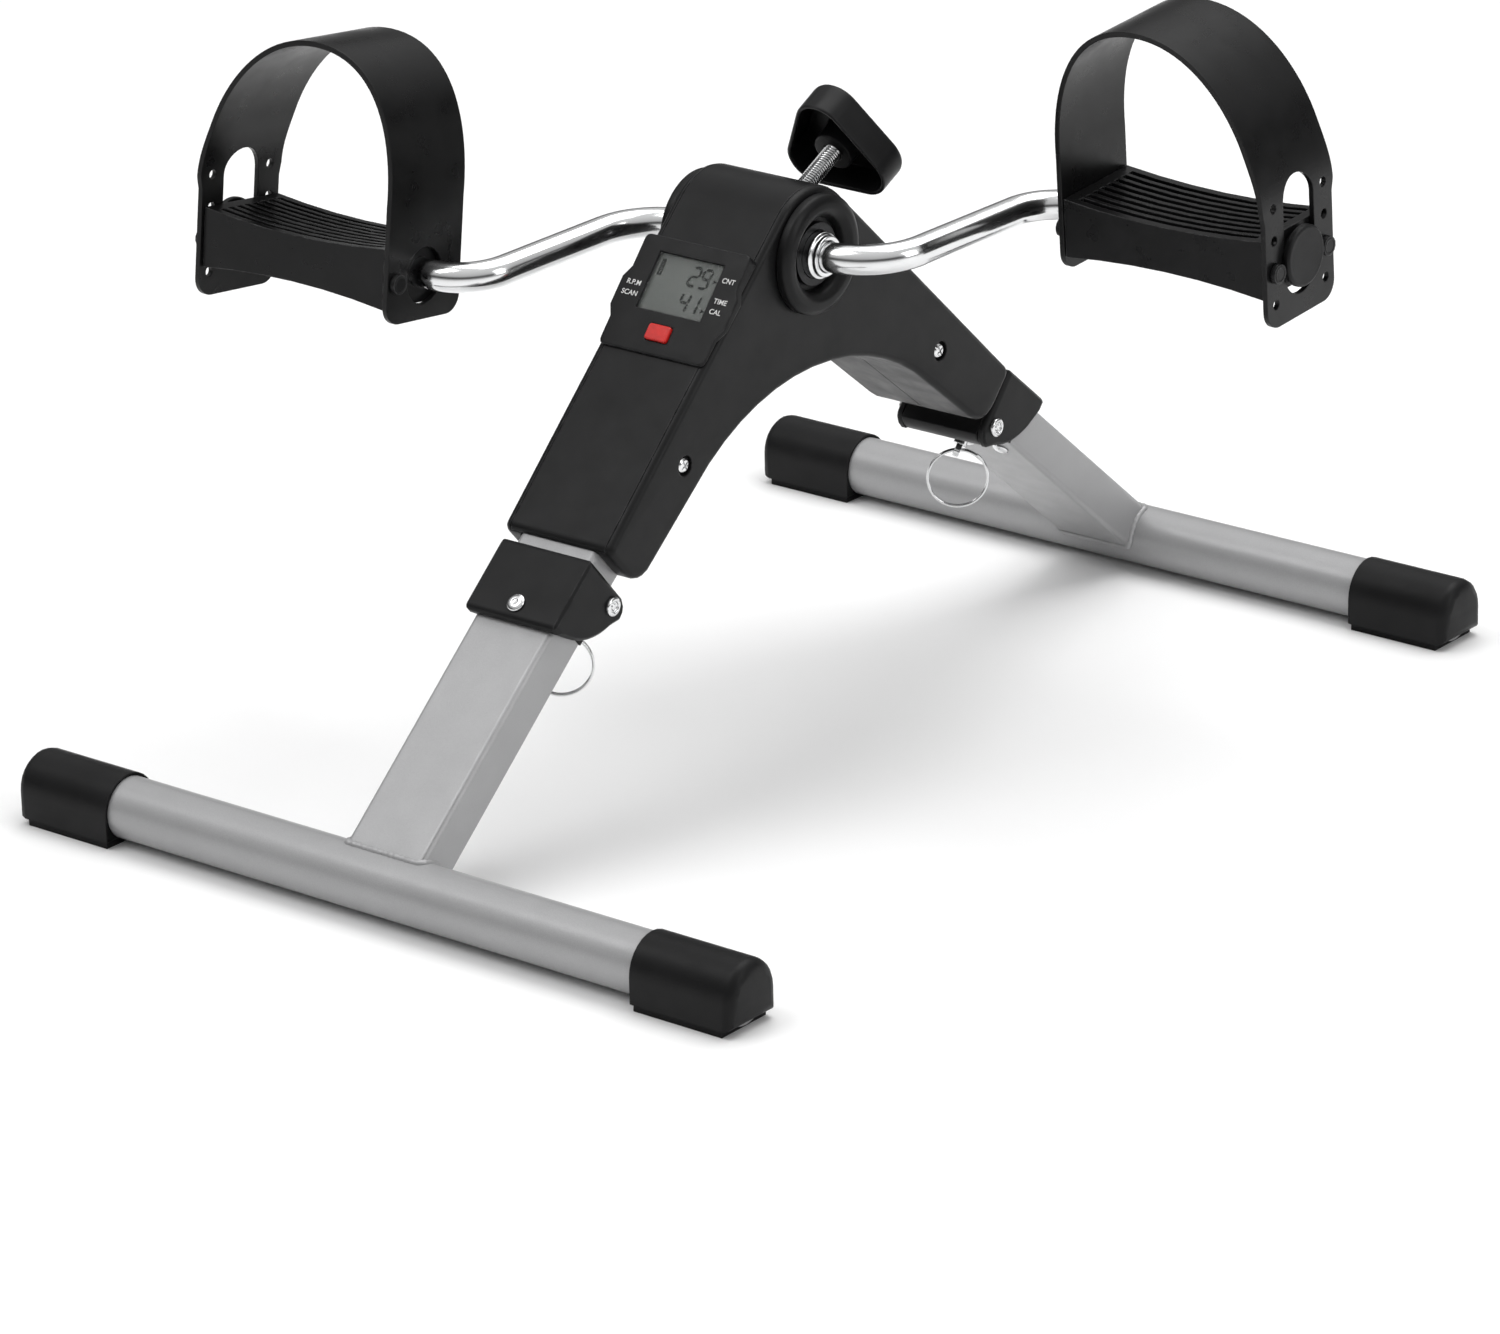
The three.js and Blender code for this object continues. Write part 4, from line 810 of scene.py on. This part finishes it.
# ---- counter markings --------------------------------------------------------------------
def printed(text, height, x, v, face, depth=0.05):
    """Raised lettering on the counter's face, centred at x with its base at v."""
    cap_height = 0.73                    # of the type size
    curve = bpy.data.curves.new("text", "FONT")
    curve.body, curve.size, curve.align_x = text, height / cap_height, "CENTER"
    curve.extrude, curve.offset = depth / 2, 0.03
    obj = bpy.data.objects.new("text", curve)
    bpy.context.scene.collection.objects.link(obj)
    bpy.context.view_layer.update()
    mesh = bpy.data.meshes.new_from_object(
        obj.evaluated_get(bpy.context.evaluated_depsgraph_get()))
    bpy.data.objects.remove(obj)
    mesh.transform(Matrix.Diagonal((MM, MM, MM, 1)) @ COUNTER @ at(x, v, face + depth / 2))
    return mesh


LABELS = (("CNT", 22.0, 11.4), ("TIME", 22.4, 2.1), ("CAL", 22.0, -2.6),
          ("R.P.M", -22.6, 2.2), ("SCAN", -22.6, -2.5))
words = merged([printed(text, 2.3, x, v, 0.0) for text, x, v in LABELS])
piece("counter_words", words, "frame", "nylon", material=PRINT_WHITE)

SEGMENTS = {"0": "abcdef", "1": "bc", "2": "abged", "3": "abgcd", "4": "fgbc",
            "5": "afgcd", "6": "afgecd", "7": "abc", "8": "abcdefg", "9": "abcdfg"}


def digit(symbol, x, v, width, height, stroke=1.35, lean=0.06):
    """Seven-segment strokes of one digit, as thin hexagons."""
    mid, gap = height / 2, 0.12
    across = {"a": height, "g": mid, "d": 0}
    upright = {"f": (0, mid, height), "b": (width, mid, height),
               "e": (0, 0, mid), "c": (width, 0, mid)}
    s = stroke / 2
    shapes = []
    for name in SEGMENTS[symbol]:
        if name in across:
            y = across[name]
            a, b = gap, width - gap
            points = [(a, y), (a + s, y + s), (b - s, y + s), (b, y), (b - s, y - s), (a + s, y - s)]
        else:
            px, low, high = upright[name]
            a, b = low + gap, high - gap
            points = [(px, a), (px + s, a + s), (px + s, b - s), (px, b), (px - s, b - s),
                      (px - s, a + s)]
        shapes.append([(x + px + py * lean, v + py) for px, py in points])
    return shapes


LCD_FACE = -2.1
marks = digit("2", 1.2, 7.7, 4.0, 8.2) + digit("9", 6.9, 7.7, 4.0, 8.2)
marks += digit("4", 1.4, -4.0, 4.0, 8.2) + digit("1", 6.6, -4.0, 4.0, 8.2)
marks += [[(13.2, v - 1), (15.3, v), (13.2, v + 1)] for v in (11.5, -1.9)]
marks.append([(-15.3, 9.3), (-13.1, 9.3), (-13.1, 16.6), (-15.3, 16.6)])
segments = merged([prism(shape, LCD_FACE, LCD_FACE + 0.06, COUNTER) for shape in marks])
piece("counter_digits", segments, "frame", "lcd", material=PRINT_DARK)


# ---- floor and light -------------------------------------------------------------------
def flat_square(half, z):
    return mesh_of([(-half, -half, z), (half, -half, z), (half, half, z), (-half, half, z)],
                   [(0, 1, 2, 3)])


FLOOR_HALF = 9000
floor = bpy.data.objects.new("floor", flat_square(FLOOR_HALF, 0))
bpy.context.scene.collection.objects.link(floor)
paper = Surface("floor", (0.92, 0.92, 0.92), 0.6)
floor.data.materials.append(paper.finish(
    paper.blend(paper.noise(600, 2), (0.915, 0.915, 0.915), (0.925, 0.925, 0.925)),
    paper.span(paper.noise(40, 2), 0.3, 0.7, 0.55, 0.65)))


def softbox(name, spot, target, width, height, power):
    """An area light at spot facing target, in metres and watts."""
    light = bpy.data.lights.new(name, "AREA")
    light.shape, light.size, light.size_y, light.energy = "RECTANGLE", width, height, power
    obj = bpy.data.objects.new(name, light)
    obj.location = spot
    obj.rotation_euler = (Vector(target) - Vector(spot)).to_track_quat("-Z", "Y").to_euler()
    bpy.context.scene.collection.objects.link(obj)


softbox("key", (-1.0, -1.3, 2.6), (0, 0, 0.1), 1.6, 1.6, 22)
softbox("top", (0.1, 0.9, 2.9), (0, 0, 0), 2.6, 2.2, 52)
softbox("side", (2.6, 0.2, 1.3), (0, 0, 0.2), 0.8, 1.6, 14)

world = bpy.data.worlds.new("studio")
bpy.context.scene.world = world
world.use_nodes = True
tree = world.node_tree
coordinates = tree.nodes.new("ShaderNodeTexCoord")
split = tree.nodes.new("ShaderNodeSeparateXYZ")
ramp = tree.nodes.new("ShaderNodeValToRGB")
SKY = ((0.0, 0.6), (0.05, 0.4), (0.14, 0.08), (0.26, 0.07), (0.42, 0.6), (1.0, 0.95))
while len(ramp.color_ramp.elements) < len(SKY):
    ramp.color_ramp.elements.new(0.5)
for element, (height, grey) in zip(ramp.color_ramp.elements, SKY):
    element.position = height
    element.color = (grey, grey, grey, 1)
tree.links.new(coordinates.outputs["Generated"], split.inputs[0])
tree.links.new(split.outputs["Z"], ramp.inputs["Fac"])
tree.links.new(ramp.outputs["Color"], tree.nodes["Background"].inputs["Color"])
tree.nodes["Background"].inputs["Strength"].default_value = 0.85

view = bpy.context.scene.view_settings
view.view_transform, view.look = "Standard", "None"
